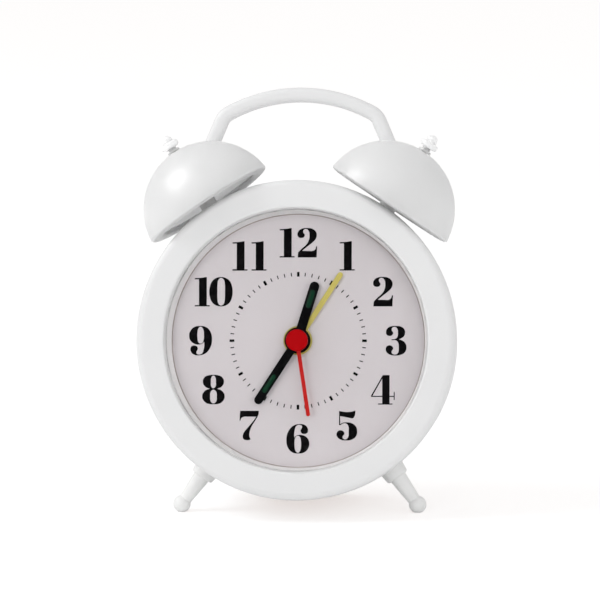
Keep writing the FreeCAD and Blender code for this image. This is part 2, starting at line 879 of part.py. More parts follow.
for side, sign in SIDES:
    frame = radial_frame(S.bell_angle * sign, bell_plane)
    bell = new_body(f"bell_{side}", frame)
    rim_angle = arc_sine((bell_rim_distance - bell_centre) / S.bell_radius)
    sphere(bell, f"dome_{side}", S.bell_radius, (0, 0, bell_centre),
           low_angle=rim_angle)
    doc.recompute()
    bead = bell.newObject("PartDesign::AdditiveTorus", f"rim_bead_{side}")
    attach(bead, bell, "XY_Plane")
    rim_half = bell_rim_distance - bell_centre
    rim_radius = root(S.bell_radius * S.bell_radius - rim_half * rim_half)
    bind(bead, "Radius1", rim_radius - S.bell_bead_radius)
    bind(bead, "Radius2", S.bell_bead_radius)
    bind(bead, "AttachmentOffset.Base.z", bell_rim_distance + S.bell_bead_radius / 2)
    doc.recompute()
    sphere(bell, f"dome_inside_{side}", S.bell_radius - S.bell_wall,
           (0, 0, bell_centre), cut=True)
    stud_hole = bell.newObject("PartDesign::SubtractiveCylinder", f"stud_hole_{side}")
    attach(stud_hole, bell, "XY_Plane")
    bind(stud_hole, "Radius", S.stud_radius + S.static_clearance)
    bind(stud_hole, "Height", bell_apex + S.bell_wall)
    pin_hole = bell.newObject("PartDesign::SubtractiveCylinder", f"pin_hole_{side}")
    attach(pin_hole, bell, "XY_Plane")
    bind(pin_hole, "Radius", S.handle_pin_radius + S.static_clearance)
    bind(pin_hole, "Height", S.bell_radius + S.bell_wall)
    pin_hole.setExpression("AttachmentOffset", pin_frame(sign))
    doc.recompute()

    post = new_body(f"bell_post_{side}", frame)
    post_seat = case_front + S.post_seat_gap
    post_top = bell_apex - S.bell_wall - S.bell_seat_gap
    revolve(post, f"post_{side}", [
        (S.screw_shank_radius, case_inner - S.running_clearance),
        (S.post_spigot_radius, case_inner - S.running_clearance),
        (S.post_spigot_radius, post_seat),
        (S.post_radius, post_seat),
        (S.post_radius, post_top),
        (S.stud_radius, post_top),
        (S.stud_radius, bell_apex + S.stud_length),
        (0, bell_apex + S.stud_length),
        (0, case_inner + S.inner_screw_length),
        (S.screw_shank_radius, case_inner + S.inner_screw_length),
    ])

    finial = new_body(f"finial_{side}", frame)
    finial_seat = bell_apex + S.running_clearance
    ring_low = finial_seat + S.finial_ring_height - S.finial_ring_thickness / 2
    ring_high = ring_low + S.finial_ring_thickness
    bore = S.stud_radius + S.running_clearance
    revolve(finial, f"finial_turning_{side}", [
        (bore, finial_seat),
        (S.finial_base_radius, finial_seat),
        (S.finial_base_radius, finial_seat + S.finial_base_height, S.post_seat_gap),
        (S.finial_neck_radius, finial_seat + S.finial_base_height),
        (S.finial_neck_radius, ring_low),
        (S.finial_ring_radius, ring_low, S.finial_ring_round),
        (S.finial_ring_radius, ring_high, S.finial_ring_round),
        (S.finial_neck_radius, ring_high),
        (S.finial_neck_radius, ring_high + S.finial_base_height),
        (0, ring_high + S.finial_base_height),
        (0, bell_apex + S.stud_length + S.running_clearance),
        (bore, bell_apex + S.stud_length + S.running_clearance),
    ])
    doc.recompute()
    ball_centre = finial_seat + S.finial_height - S.finial_ball_radius
    sphere(finial, f"finial_ball_{side}", S.finial_ball_radius, (0, 0, ball_centre))
    doc.recompute()
    bored = finial.newObject("PartDesign::SubtractiveCylinder", f"finial_bore_{side}")
    attach(bored, finial, "XY_Plane")
    bind(bored, "Radius", bore)
    bind(bored, "Height", bell_apex + S.stud_length + S.running_clearance)
    doc.recompute()

# ---------------------------------------------------------------------------
# Handle: one bar swept along an arch, shoulders and splayed legs

handle_plane = L.derive("handle_plane", bell_plane - S.handle_setback)
arch_top = L.derive("arch_top", handle_top - S.handle_thickness / 2)
arch_centre = L.derive("arch_centre", arch_top - S.handle_arch_radius)

handle = new_body("handle")
path = new_sketch(handle, "handle_path", offset=handle_plane)
splay = math.radians(S.handle_splay.value)
leg_up = V(-math.sin(splay), math.cos(splay), 0)
inward = V(-math.cos(splay), -math.sin(splay), 0)
leg_foot = V(handle_foot_reach.value, leg_y.value, 0) - leg_up * S.bell_wall.value
arch_middle = V(0, arch_centre.value, 0)
shoulder = S.handle_shoulder_radius.value
start = leg_foot + inward * shoulder - arch_middle
reach = S.handle_arch_radius.value - shoulder
along = start.dot(leg_up)
leg_length = -along + math.sqrt(along * along - start.dot(start) + reach * reach)
shoulder_centre = leg_foot + leg_up * leg_length + inward * shoulder
touch = (shoulder_centre - arch_middle).normalize()
arch_half = math.atan2(touch.x, touch.y)


def drawn_arc(centre, radius, low, high):
    circle = Part.Circle(centre, V(0, 0, 1), radius)
    return path.addGeometry(Part.ArcOfCircle(circle, low, high), False)


def mirrored(point):
    return V(-point.x, point.y, 0)


quarter = math.pi / 2
arch = drawn_arc(arch_middle, S.handle_arch_radius.value,
                 quarter - arch_half, quarter + arch_half)
shoulder_right = drawn_arc(shoulder_centre, shoulder, splay, quarter - arch_half)
shoulder_left = drawn_arc(mirrored(shoulder_centre), shoulder,
                          quarter + arch_half, math.pi - splay)
leg_head = leg_foot + leg_up * leg_length
leg_right = path.addGeometry(Part.LineSegment(leg_foot, leg_head), False)
leg_left = path.addGeometry(
    Part.LineSegment(mirrored(leg_foot), mirrored(leg_head)), False
)
constrain(path, "Tangent", leg_right, 2, shoulder_right, 1)
constrain(path, "Tangent", shoulder_right, 2, arch, 1)
constrain(path, "Tangent", arch, 2, shoulder_left, 1)
constrain(path, "Tangent", shoulder_left, 2, leg_left, 2)
fix_point(path, arch, 3, 0, arch_centre)
constrain(path, "Radius", arch, value=S.handle_arch_radius)
foot_x = handle_foot_reach + S.bell_wall * sine(S.handle_splay)
foot_y = leg_y - S.bell_wall * cosine(S.handle_splay)
for leg, arc, sign in ((leg_right, shoulder_right, 1), (leg_left, shoulder_left, -1)):
    fix_point(path, leg, 1, foot_x * sign, foot_y)
    constrain(path, "Radius", arc, value=S.handle_shoulder_radius)
doc.recompute()

section = new_sketch(handle, "handle_section", "YZ_Plane")
half_thick = S.handle_thickness / 2
half_wide = S.handle_width / 2
draw_outline(section, box_corners(
    arch_top - half_thick, arch_top + half_thick,
    handle_plane - half_wide, handle_plane + half_wide, S.handle_edge_round,
))
doc.recompute()
bar = handle.newObject("PartDesign::AdditivePipe", "handle_bar")
bar.Profile = section
bar.Spine = (path, [f"Edge{index + 1}" for index in range(len(path.Geometry))])
doc.recompute()
for side, sign in SIDES:
    sphere(handle, f"handle_seat_{side}", S.bell_radius + S.running_clearance,
           (bell_x * sign, bell_y, bell_plane), cut=True)
    doc.recompute()
for side, sign in SIDES:
    pin = handle.newObject("PartDesign::AdditiveCylinder", f"handle_pin_{side}")
    attach(pin, handle, "XY_Plane")
    bind(pin, "Radius", S.handle_pin_radius)
    bind(pin, "Height", S.handle_pin_length + S.bell_wall)
    inner_end = placement_text(0, 0, S.bell_radius - S.handle_pin_length)
    pin_text = f"{radial_frame(S.bell_angle * sign, bell_plane)} * {pin_frame(sign)}"
    pin.setExpression("AttachmentOffset", f"{pin_text} * {inner_end}")
    doc.recompute()

# Push nuts on the pins, inside the domes
nut_seat = S.bell_radius - S.bell_wall - S.push_nut_thickness - S.bell_seat_gap
for side, sign in SIDES:
    frame = f"{radial_frame(S.bell_angle * sign, bell_plane)} * {pin_frame(sign)}"
    nut = new_body(f"push_nut_{side}", f"{frame} * {placement_text(0, 0, nut_seat)}")
    extrude(nut, f"push_nut_disc_{side}", 0, S.push_nut_thickness, circles=[
        (0, 0, S.push_nut_radius),
        (0, 0, S.handle_pin_radius + S.running_clearance),
    ])
doc.recompute()

# ---------------------------------------------------------------------------
# Feet: collar, tapered shank and ball, the sole of the ball flat on the table

for side, sign in SIDES:
    frame = radial_frame(foot_direction * sign, foot_plane)
    foot = new_body(f"foot_{side}", frame)
    foot_seat = case_front + S.post_seat_gap
    shank_start = foot_seat + S.foot_collar_height
    revolve(foot, f"foot_turning_{side}", [
        (S.screw_shank_radius, case_inner - S.running_clearance),
        (S.foot_spigot_radius, case_inner - S.running_clearance),
        (S.foot_spigot_radius, foot_seat),
        (S.foot_collar_radius, foot_seat),
        (S.foot_collar_end_radius, shank_start, S.foot_collar_round),
        (S.foot_shank_top_radius, shank_start),
        (S.foot_shank_end_radius, foot_ball_distance),
        (0, foot_ball_distance),
        (0, case_inner + S.inner_screw_length),
        (S.screw_shank_radius, case_inner + S.inner_screw_length),
    ])
    doc.recompute()
    sphere(foot, f"foot_ball_{side}", S.foot_ball_radius, (0, 0, foot_ball_distance))
    doc.recompute()
    sole = foot.newObject("PartDesign::SubtractiveBox", f"foot_sole_{side}")
    attach(sole, foot, "XY_Plane")
    for size in ("Length", "Width", "Height"):
        bind(sole, size, S.foot_ball_radius * 4)
    # The cutter hangs below the table plane, whose normal is the clock's lean
    at_ball = placement_text(0, 0, foot_ball_distance, (1, 0, 0), 90)
    unturned = placement_text(axis=(0, 0, 1), angle=foot_direction * sign)
    upright = placement_text(axis=(1, 0, 0), angle=lean - 90)
    half_cutter = S.foot_ball_radius * 2
    lowered = placement_text(
        -half_cutter, -half_cutter, S.foot_sole_cut - S.foot_ball_radius * 5,
    )
    sole.setExpression("AttachmentOffset", f"{at_ball} * {unturned} * {upright} * {lowered}")
    doc.recompute()

# ---------------------------------------------------------------------------
# Screws: three for the rear cover, four through the drum wall, two in the ears


def screw_shape(length):
    """Pan-head screw, head below the origin, shank along +Z."""
    shank = Part.makeCylinder(
        S.screw_shank_radius.value - S.running_clearance.value, length,
    )
    head = Part.makeCylinder(
        S.screw_head_radius.value, S.screw_head_height.value,
        V(0, 0, -S.screw_head_height.value),
    )
    rounded = head.makeFillet(S.screw_head_round.value, [head.Edges[2]])
    return shank.fuse(rounded).removeSplitter()


def add_group(label, shapes):
    """One node holding separate solids given in the clock frame."""
    group = doc.addObject("Part::Feature", label)
    group.Label = label
    group.Shape = shapes[0] if len(shapes) == 1 else Part.makeCompound(shapes)
    group.Placement = clock_placement()
    pieces.append(group)
    return group


def moved(shape, x, y, z, rotation=FreeCAD.Rotation()):
    return shape.transformed(FreeCAD.Placement(V(x, y, z), rotation).toMatrix(), True)


def polar(distance, degrees):
    angle = math.radians(degrees)
    return V(distance * math.cos(angle), distance * math.sin(angle), 0)


cover_screw = screw_shape(S.cover_screw_length.value)
cover_screws = []
for index in range(3):
    at = polar(cover_screw_distance.value, 90 + 120 * index)
    cover_screws.append(moved(cover_screw, at.x, at.y, S.cover_recess.value))
add_group("cover_screws", cover_screws)

inner_screw = screw_shape(S.inner_screw_length.value)
inner_screws = []
head_seat = case_inner.value - S.running_clearance.value
for degrees, plane in (
    (S.bell_angle.value, bell_plane.value),
    (foot_direction.value, foot_plane.value),
):
    for sign in (-1, 1):
        turn = FreeCAD.Rotation(V(0, 0, 1), -sign * degrees)
        turn = turn.multiply(FreeCAD.Rotation(V(1, 0, 0), -90))
        at = turn.multVec(V(0, 0, head_seat))
        inner_screws.append(moved(inner_screw, at.x, at.y, plane, turn))
add_group("wall_screws", inner_screws)

ear_screw = screw_shape(S.ear_screw_length.value)
add_group("movement_screws", [
    moved(ear_screw, sign * ear_screw_distance.value, 0, plate_back.value)
    for sign in (-1, 1)
])

# ---------------------------------------------------------------------------
# Gear train.  Toothed wheels are stub involute gears drawn by formula.


def involute(angle):
    return math.tan(angle) - angle


def tooth_outline(teeth, module, phase):
    """Corners of a gear: root, three points on each flank, tip; phase in degrees."""
    pressure = math.radians(S.tooth_pressure_angle.value)
    pitch = teeth * module / 2
    base = pitch * math.cos(pressure)
    tip = pitch + S.tooth_addendum.value * module
    foot = pitch - S.tooth_dedendum.value * module
    half = math.pi / (2 * teeth) - S.tooth_backlash.value / (2 * pitch)
    flank = []
    low = max(foot, base)
    for step in range(3):
        radius = low + (tip - low) * step / 2
        turn = math.acos(base / radius)
        flank.append((radius, half + involute(pressure) - involute(turn)))
    if foot < base:
        flank.insert(0, (foot, flank[0][1]))
    corners = []
    for tooth in range(teeth):
        middle = math.radians(phase) + 2 * math.pi * tooth / teeth
        for radius, turn in flank:
            corners.append((radius, middle - turn))
        for radius, turn in reversed(flank):
            corners.append((radius, middle + turn))
    return [V(r * math.cos(a), r * math.sin(a), 0) for r, a in corners]


def gear(teeth, module, phase, back, thickness):
    points = tooth_outline(teeth, module, phase)
    face = Part.Face(Part.makePolygon(points + points[:1]))
    return moved(face.extrude(V(0, 0, thickness)), 0, 0, back)


def rod(radius, low, high):
    return Part.makeCylinder(radius, high - low, V(0, 0, low))


def meshing_phase(driver_teeth, driver_phase, driven_teeth, direction):
    """Phase that puts a gap of the driven gear on a tooth of the driver."""
    turned = driver_teeth * (driver_phase - direction)
    return direction + 180 + (180 - turned) / driven_teeth


# Levels of the train that the bridge and the floor of the motor room lie on
BRIDGE_LEVEL, FLOOR_LEVEL = 5, 8


def level(index):
    """Rear face of the wheel on a level, counted back from the front plate."""
    step = index * S.level_step.value
    return plate_back.value - S.level_gap.value - step - S.wheel_thickness.value


def hand_height(index):
    """Rear face of a hand: 0 alarm, 1 hour, 2 minute, 3 second."""
    return dial_face.value + S.alarm_hand_height.value + index * S.hand_step.value


thick = S.wheel_thickness.value
run = S.running_clearance.value
train = S.train_distance.value
housing_inner = level(FLOOR_LEVEL) - S.magnet_thickness.value - S.motor_room.value
housing_back = housing_inner - S.housing_wall.value
pivot_end = housing_inner - S.housing_wall.value / 2

# Coaxial tubes at the centre of the dial, each running on the one inside it
second_rod = S.second_arbor_radius.value
minute_inner = second_rod + run
minute_outer = minute_inner + S.tube_wall.value
hour_inner = minute_outer + run
hour_outer = hour_inner + S.tube_wall.value
alarm_inner = hour_outer + run
alarm_outer = alarm_inner + S.tube_wall.value

# Tooth counts and the gear modules that the shared centre distances give
CANNON, MINUTE = 12, 36
MINUTE_PINION, HOUR = 9, 36
SECOND_PINION, THIRD = 8, 60
THIRD_PINION, CENTRE = 8, 64
ROTOR_PINION, INTERMEDIATE = 8, 48
INTERMEDIATE_PINION, SECOND = 8, 40
ALARM_PINION, ALARM = 14, 42


def shared_module(distance, first, second):
    return 2 * distance / (first + second)


cannon_module = shared_module(train, CANNON, MINUTE)
hour_module = shared_module(train, MINUTE_PINION, HOUR)
third_module = shared_module(train, SECOND_PINION, THIRD)
centre_module = shared_module(train, THIRD_PINION, CENTRE)
second_module = shared_module(S.second_distance.value, INTERMEDIATE_PINION, SECOND)
rotor_module = shared_module(S.rotor_distance.value, ROTOR_PINION, INTERMEDIATE)
alarm_module = shared_module(S.alarm_distance.value, ALARM_PINION, ALARM)

MINUTE_AT = V(train, 0, 0)
THIRD_AT = V(-train, 0, 0)
INTERMEDIATE_AT = polar(S.second_distance.value, S.intermediate_direction.value)
ROTOR_AT = INTERMEDIATE_AT + polar(S.rotor_distance.value, S.rotor_direction.value)
ALARM_AT = polar(S.alarm_distance.value, S.alarm_direction.value)


def add_wheel(label, parts, at=V(0, 0, 0)):
    """Fuse the parts of a wheel, built on its own axis, and set it in the clock."""
    solid = parts[0].fuse(parts[1:]) if len(parts) > 1 else parts[0]
    return add_group(label, [moved(solid, at.x, at.y, 0)])


def bored(solid, radius):
    box = solid.BoundBox
    return solid.cut(rod(radius, box.ZMin - 1, box.ZMax + 1))


# Second wheel: the central arbor carries its wheel, its pinion and the second hand
second_top = hand_height(3) + S.hand_thickness.value
add_wheel("second_wheel", [
    rod(second_rod, housing_inner + run, second_top),
    rod(S.pivot_radius.value, pivot_end, housing_inner + run),
    gear(SECOND, second_module, 0, level(6), thick),
    gear(SECOND_PINION, third_module, 0, level(4) - run, thick + 2 * run),
])

# Centre wheel: rides on the cannon tube, held to it by the setting clutch
centre_bore = minute_outer + run
third_phase = meshing_phase(SECOND_PINION, 0, THIRD, 180)
centre_phase = meshing_phase(THIRD_PINION, 0, CENTRE, 0)
add_wheel("centre_wheel", [
    bored(gear(CENTRE, centre_module, centre_phase, level(3), thick), centre_bore),
])
add_wheel("third_wheel", [
    gear(THIRD, third_module, third_phase, level(4), thick),
    gear(THIRD_PINION, centre_module, 0, level(3) - run, thick + 2 * run),
    rod(second_rod, level(BRIDGE_LEVEL) - thick, level(2)),
    rod(S.pivot_radius.value, pivot_end, level(BRIDGE_LEVEL) - thick),
], THIRD_AT)

# Minute arbor: cannon tube with its pinion and, below it, the clutch's bearing
minute_top = hand_height(2) + S.hand_thickness.value
add_wheel("cannon_pinion", [
    bored(
        rod(minute_outer, level(3) - run, minute_top).fuse(
            gear(CANNON, cannon_module, 0, level(2), thick)
        ),
        minute_inner,
    ),
])

# Minute wheel and its pinion, on the arbor that runs back to the setting knob
minute_phase = meshing_phase(CANNON, 0, MINUTE, 0)
hour_phase = meshing_phase(MINUTE_PINION, 0, HOUR, 180)
knob_arbor_end = cover_inner.value + S.cover_thickness.value
add_wheel("minute_wheel", [
    gear(MINUTE, cannon_module, minute_phase, level(2), thick),
    gear(MINUTE_PINION, hour_module, 0, level(1) - run, thick + 2 * run),
    rod(S.arbor_radius.value, knob_arbor_end, level(0)),
], MINUTE_AT)

# Hour wheel on its tube, and the alarm wheel outside it
hour_top = hand_height(1) + S.hand_thickness.value
add_wheel("hour_wheel", [
    bored(
        rod(hour_outer, level(1), hour_top).fuse(
            gear(HOUR, hour_module, hour_phase, level(1), thick)
        ),
        hour_inner,
    ),
])
alarm_top = hand_height(0) + S.hand_thickness.value
alarm_phase = meshing_phase(ALARM_PINION, 0, ALARM, S.alarm_direction.value + 180)
add_wheel("alarm_wheel", [
    bored(
        rod(alarm_outer, level(0), alarm_top).fuse(
            gear(ALARM, alarm_module, alarm_phase, level(0), thick)
        ),
        alarm_inner,
    ),
])
add_wheel("alarm_pinion", [
    gear(ALARM_PINION, alarm_module, 0, level(0), thick),
    rod(S.arbor_radius.value, knob_arbor_end, level(0)),
], ALARM_AT)

# Intermediate wheel between the rotor and the second wheel
intermediate_pinion_phase = meshing_phase(
    SECOND, 0, INTERMEDIATE_PINION, S.intermediate_direction.value,
)
rotor_phase = meshing_phase(
    INTERMEDIATE, 0, ROTOR_PINION, S.rotor_direction.value,
)
add_wheel("intermediate_wheel", [
    gear(INTERMEDIATE, rotor_module, 0, level(7), thick),
    gear(INTERMEDIATE_PINION, second_module, intermediate_pinion_phase,
         level(6) - run, thick + 2 * run),
    rod(second_rod, housing_inner + run, level(6) + thick + run),
    rod(S.pivot_radius.value, pivot_end, level(BRIDGE_LEVEL) - run),
], INTERMEDIATE_AT)

# Rotor: magnet disc with its pinion
add_wheel("rotor", [
    rod(S.magnet_radius.value, level(8) - S.magnet_thickness.value, level(8)),
    rod(second_rod, housing_inner + run, level(6)),
    gear(ROTOR_PINION, rotor_module, rotor_phase, level(7) - run, thick + 2 * run),
    rod(S.pivot_radius.value, pivot_end, housing_inner + run),
], ROTOR_AT)

# ---------------------------------------------------------------------------
# Hands: flat bars with round ends on round hubs, turned to the time shown


def hand_shape(length, width, hub, bore, degrees, bottom, tail=0.0):
    """A hand pointing along its clockwise angle from twelve."""
    half = width / 2
    thickness = S.hand_thickness.value
    bar = Part.makeBox(width, length - half + tail, thickness, V(-half, -tail, bottom))
    tip = Part.makeCylinder(half, thickness, V(0, length - half, bottom))
    disc = Part.makeCylinder(hub, thickness, V(0, 0, bottom))
    hand = bar.fuse([tip, disc]).removeSplitter()
    hand = hand.cut(rod(bore, bottom - 1, bottom + thickness + 1))
    return moved(hand, 0, 0, 0, FreeCAD.Rotation(V(0, 0, 1), -degrees))


add_group("alarm_hand", [hand_shape(
    S.alarm_hand_length.value, S.alarm_hand_width.value, S.alarm_hub_radius.value,
    alarm_outer, S.alarm_hand_angle.value, hand_height(0),
)])
add_group("hour_hand", [hand_shape(
    S.hour_hand_length.value, S.hour_hand_width.value, S.hour_hub_radius.value,
    hour_outer, S.hour_hand_angle.value, hand_height(1),
)])
add_group("minute_hand", [hand_shape(
    S.minute_hand_length.value, S.minute_hand_width.value, S.minute_hub_radius.value,
    minute_outer, S.minute_hand_angle.value, hand_height(2),
)])
second_hand = hand_shape(
    S.second_hand_length.value, S.second_hand_width.value, S.second_cap_radius.value,
    second_rod, S.second_hand_angle.value, hand_height(3),
)
cap_low = hand_height(3) + S.hand_thickness.value
cap = Part.makeCylinder(
    S.second_cap_radius.value, S.second_cap_height.value, V(0, 0, cap_low),
)
cap = cap.makeFillet(S.second_cap_round.value, [cap.Edges[0]])
add_group("second_hand", [second_hand.fuse(cap)])

# ---------------------------------------------------------------------------
# Movement plates: front plate with ears under the shelf, train bridge, rear housing

plate = new_body("movement_plate")
extrude(
    plate, "plate_sheet", plate_back, S.plate_thickness,
    corners=[
        (-S.plate_half_width, S.plate_bottom, S.plate_corner_round),
        (S.plate_half_width, S.plate_bottom, S.plate_corner_round),
        (S.plate_half_width, -S.plate_ear_half_height),
        (plate_ear_reach, -S.plate_ear_half_height),
        (plate_ear_reach, S.plate_ear_half_height),
        (S.plate_half_width, S.plate_ear_half_height),
        (S.plate_half_width, S.plate_top, S.plate_corner_round),
        (-S.plate_half_width, S.plate_top, S.plate_corner_round),
        (-S.plate_half_width, S.plate_ear_half_height),
        (-plate_ear_reach, S.plate_ear_half_height),
        (-plate_ear_reach, -S.plate_ear_half_height),
        (-S.plate_half_width, -S.plate_ear_half_height),
    ],
)
doc.recompute()
extrude(plate, "dial_support", shelf_back, S.shelf_thickness,
        circles=[(0, 0, S.boss_flange_radius)])
extrude(plate, "plate_nose", dial_back, S.dial_thickness + S.nose_height,
        circles=[(0, 0, S.nose_radius)])
doc.recompute()
nose_bore = (
    S.second_arbor_radius + S.tube_wall * 3 + S.running_clearance * 4
)
screw_bore = S.screw_shank_radius + S.static_clearance
extrude(
    plate, "plate_holes", plate_back,
    S.plate_thickness + S.shelf_thickness + S.dial_thickness + S.nose_height,
    cut=True,
    circles=[
        (0, 0, nose_bore),
        (ear_screw_distance, 0, screw_bore),
        (-ear_screw_distance, 0, screw_bore),
    ],
)
doc.recompute()

bridge = new_body("train_bridge")
inner_half = S.plate_half_width - S.housing_wall - S.static_clearance
inner_bottom = S.plate_bottom + S.housing_wall + S.static_clearance
bridge_level = L.derive(
    "bridge_level",
    plate_back - S.level_gap - S.level_step * BRIDGE_LEVEL - S.wheel_thickness,
)
arbor_hole = S.arbor_radius + S.running_clearance
extrude(
    bridge, "bridge_sheet", bridge_level, S.wheel_thickness,
    corners=box_corners(
        -inner_half, inner_half, inner_bottom, S.bridge_top,
        S.plate_corner_round - S.housing_wall,
    ),
    circles=[
        (0, 0, S.second_arbor_radius + S.running_clearance),
        (-S.train_distance, 0, S.second_arbor_radius + S.running_clearance),
        (S.train_distance, 0, arbor_hole),
        (alarm_x, alarm_y, arbor_hole),
        (
            S.second_distance * cosine(S.intermediate_direction),
            S.second_distance * sine(S.intermediate_direction),
            S.pivot_radius + S.running_clearance,
        ),
    ],
)
doc.recompute()

housing = new_body("movement_housing")
housing_floor = L.derive(
    "housing_floor",
    plate_back - S.level_gap - S.level_step * FLOOR_LEVEL - S.wheel_thickness
    - S.magnet_thickness - S.motor_room,
)
housing_rear = L.derive("housing_rear", housing_floor - S.housing_wall)
extrude(
    housing, "housing_block", housing_rear, plate_back - housing_rear,
    corners=box_corners(
        -S.plate_half_width, S.plate_half_width, S.plate_bottom, S.plate_top,
        S.plate_corner_round,
    ),
)
doc.recompute()
extrude(
    housing, "housing_cavity", housing_floor, plate_back - housing_floor, cut=True,
    corners=box_corners(
        -S.plate_half_width + S.housing_wall, S.plate_half_width - S.housing_wall,
        S.plate_bottom + S.housing_wall, S.plate_top - S.housing_wall,
        S.plate_corner_round - S.housing_wall,
    ),
)
doc.recompute()
rotor_x = (
    S.second_distance * cosine(S.intermediate_direction)
    + S.rotor_distance * cosine(S.rotor_direction)
)
rotor_y = (
    S.second_distance * sine(S.intermediate_direction)
    + S.rotor_distance * sine(S.rotor_direction)
)
pivot_hole = S.pivot_radius + S.running_clearance
extrude(
    housing, "housing_pivots", housing_rear, S.housing_wall, cut=True,
    circles=[
        (0, 0, pivot_hole),
        (-S.train_distance, 0, pivot_hole),
        (
            S.second_distance * cosine(S.intermediate_direction),
            S.second_distance * sine(S.intermediate_direction),
            pivot_hole,
        ),
        (rotor_x, rotor_y, pivot_hole),
        (S.train_distance, 0, arbor_hole),
        (alarm_x, alarm_y, arbor_hole),
    ],
)
doc.recompute()

# ---------------------------------------------------------------------------
# Stepper motor and electronics inside the housing

stator_level = (
    housing_floor + S.motor_room + (S.magnet_thickness - S.stator_thickness) / 2
)
stator = new_body("stator")
stator_half = S.coil_length / 2 + S.stator_half_width / 2
magnet_hole = S.magnet_radius + S.magnet_gap
core_y = rotor_y + S.coil_rise
core_half = S.stator_half_width / 3
extrude(
    stator, "stator_sheet", stator_level, S.stator_thickness,
    corners=[
        (rotor_x - stator_half, rotor_y - S.stator_half_width),
        (rotor_x + stator_half, rotor_y - S.stator_half_width),
        (rotor_x + stator_half, core_y + core_half),
        (rotor_x - stator_half, core_y + core_half),
    ],
    circles=[(rotor_x, rotor_y, magnet_hole)],
)
doc.recompute()
extrude(
    stator, "stator_window", stator_level, S.stator_thickness, cut=True,
    corners=box_corners(
        rotor_x - S.coil_length / 2, rotor_x + S.coil_length / 2,
        rotor_y + S.stator_half_width, core_y - core_half,
    ),
)
doc.recompute()

coil = new_body("coil", placement_text(
    rotor_x - S.coil_length / 2 + S.static_clearance, core_y,
    stator_level + S.stator_thickness / 2, (0, 1, 0), 90,
))
extrude(coil, "coil_winding", 0, S.coil_length - S.loose_clearance,
        circles=[(0, 0, S.coil_radius)])
doc.recompute()
core_clear = core_half + S.static_clearance
sheet_clear = S.stator_thickness / 2 + S.static_clearance
extrude(
    coil, "coil_slot", 0, S.coil_length, cut=True,
    corners=box_corners(-sheet_clear, sheet_clear, -core_clear, core_clear),
)
doc.recompute()

board = new_body("circuit_board")
extrude(
    board, "board_sheet", housing_floor, S.board_thickness,
    corners=box_corners(
        S.board_centre_x - S.board_width / 2, S.board_centre_x + S.board_width / 2,
        S.board_centre_y - S.board_height / 2, S.board_centre_y + S.board_height / 2,
    ),
)
crystal = new_body("quartz_crystal", placement_text(
    S.board_centre_x - S.crystal_length / 2, S.board_centre_y,
    housing_floor + S.board_thickness + S.crystal_radius, (0, 1, 0), 90,
))
extrude(crystal, "crystal_can", 0, S.crystal_length,
        circles=[(0, 0, S.crystal_radius)])

buzzer = new_body("buzzer", placement_text(buzzer_x, S.buzzer_y, cover_inner))
revolve(buzzer, "buzzer_capsule", [
    (S.knob_stem_radius, 0),
    (S.buzzer_radius, 0),
    (S.buzzer_radius, S.buzzer_height, S.small_edge_round),
    (0, S.buzzer_height),
    (0, S.buzzer_height / 2),
    (S.knob_stem_radius, S.buzzer_height / 2),
])
doc.recompute()

# ---------------------------------------------------------------------------
# Knobs behind the clock, on long stems that slip over the arbors

knob_face = S.cover_recess - S.knob_gap
stem_top = housing_rear - S.knob_gap
for name, x, y in (("time_knob", S.train_distance, 0), ("alarm_knob", alarm_x, alarm_y)):
    knob = new_body(name, placement_text(x, y, 0))
    stem_bore = S.arbor_radius
    revolve(knob, f"{name}_turning", [
        (stem_bore, stem_top),
        (stem_bore, cover_inner + S.cover_thickness),
        (0, cover_inner + S.cover_thickness),
        (0, knob_face - S.knob_height),
        (S.knob_radius, knob_face - S.knob_height, S.knob_edge_round),
        (S.knob_radius, knob_face),
        (S.knob_stem_radius, knob_face),
        (S.knob_stem_radius, stem_top),
    ])
    doc.recompute()
    flute = extrude(
        knob, f"{name}_flute", knob_face - S.knob_height, S.knob_height, cut=True,
        circles=[(S.knob_radius + S.knob_flute_radius / 2, 0, S.knob_flute_radius)],
    )
    repeat(knob, f"{name}_flutes", [flute], S.knob_flutes)
    doc.recompute()

# Alarm switch: a plate that slides behind the cover, its nib through the slot
switch = new_body("alarm_switch")
extrude(
    switch, "switch_plate", cover_inner + S.running_clearance, S.switch_plate_thickness,
    corners=box_corners(
        -S.switch_plate_width / 2, S.switch_plate_width / 2,
        S.switch_y - S.switch_plate_height / 2, S.switch_y + S.switch_plate_height / 2,
    ),
)
extrude(
    switch, "switch_nib", S.cover_recess - S.switch_nib_reach,
    cover_inner - S.cover_recess + S.switch_nib_reach + S.switch_plate_thickness,
    corners=box_corners(
        -S.switch_nib_width / 2, S.switch_nib_width / 2,
        S.switch_y - S.switch_nib_height / 2, S.switch_y + S.switch_nib_height / 2,
    ),
)
doc.recompute()

# ---------------------------------------------------------------------------
# Check the document and write one file for each piece


def failed(item):
    return [state for state in item.State if state in ("Invalid", "Error")]


broken = [item.Label for item in doc.Objects if failed(item)]
for piece in pieces:
    if piece.Shape.isNull() or not piece.Shape.isValid():
        broken.append(piece.Label)
if broken:
    raise RuntimeError("failed: " + ", ".join(broken))

os.makedirs("parts", exist_ok=True)
for piece in pieces:
    piece.Shape.exportStep(f"parts/{piece.Label}.step")
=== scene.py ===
import math

import bpy
import numpy as np
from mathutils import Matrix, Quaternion, Vector


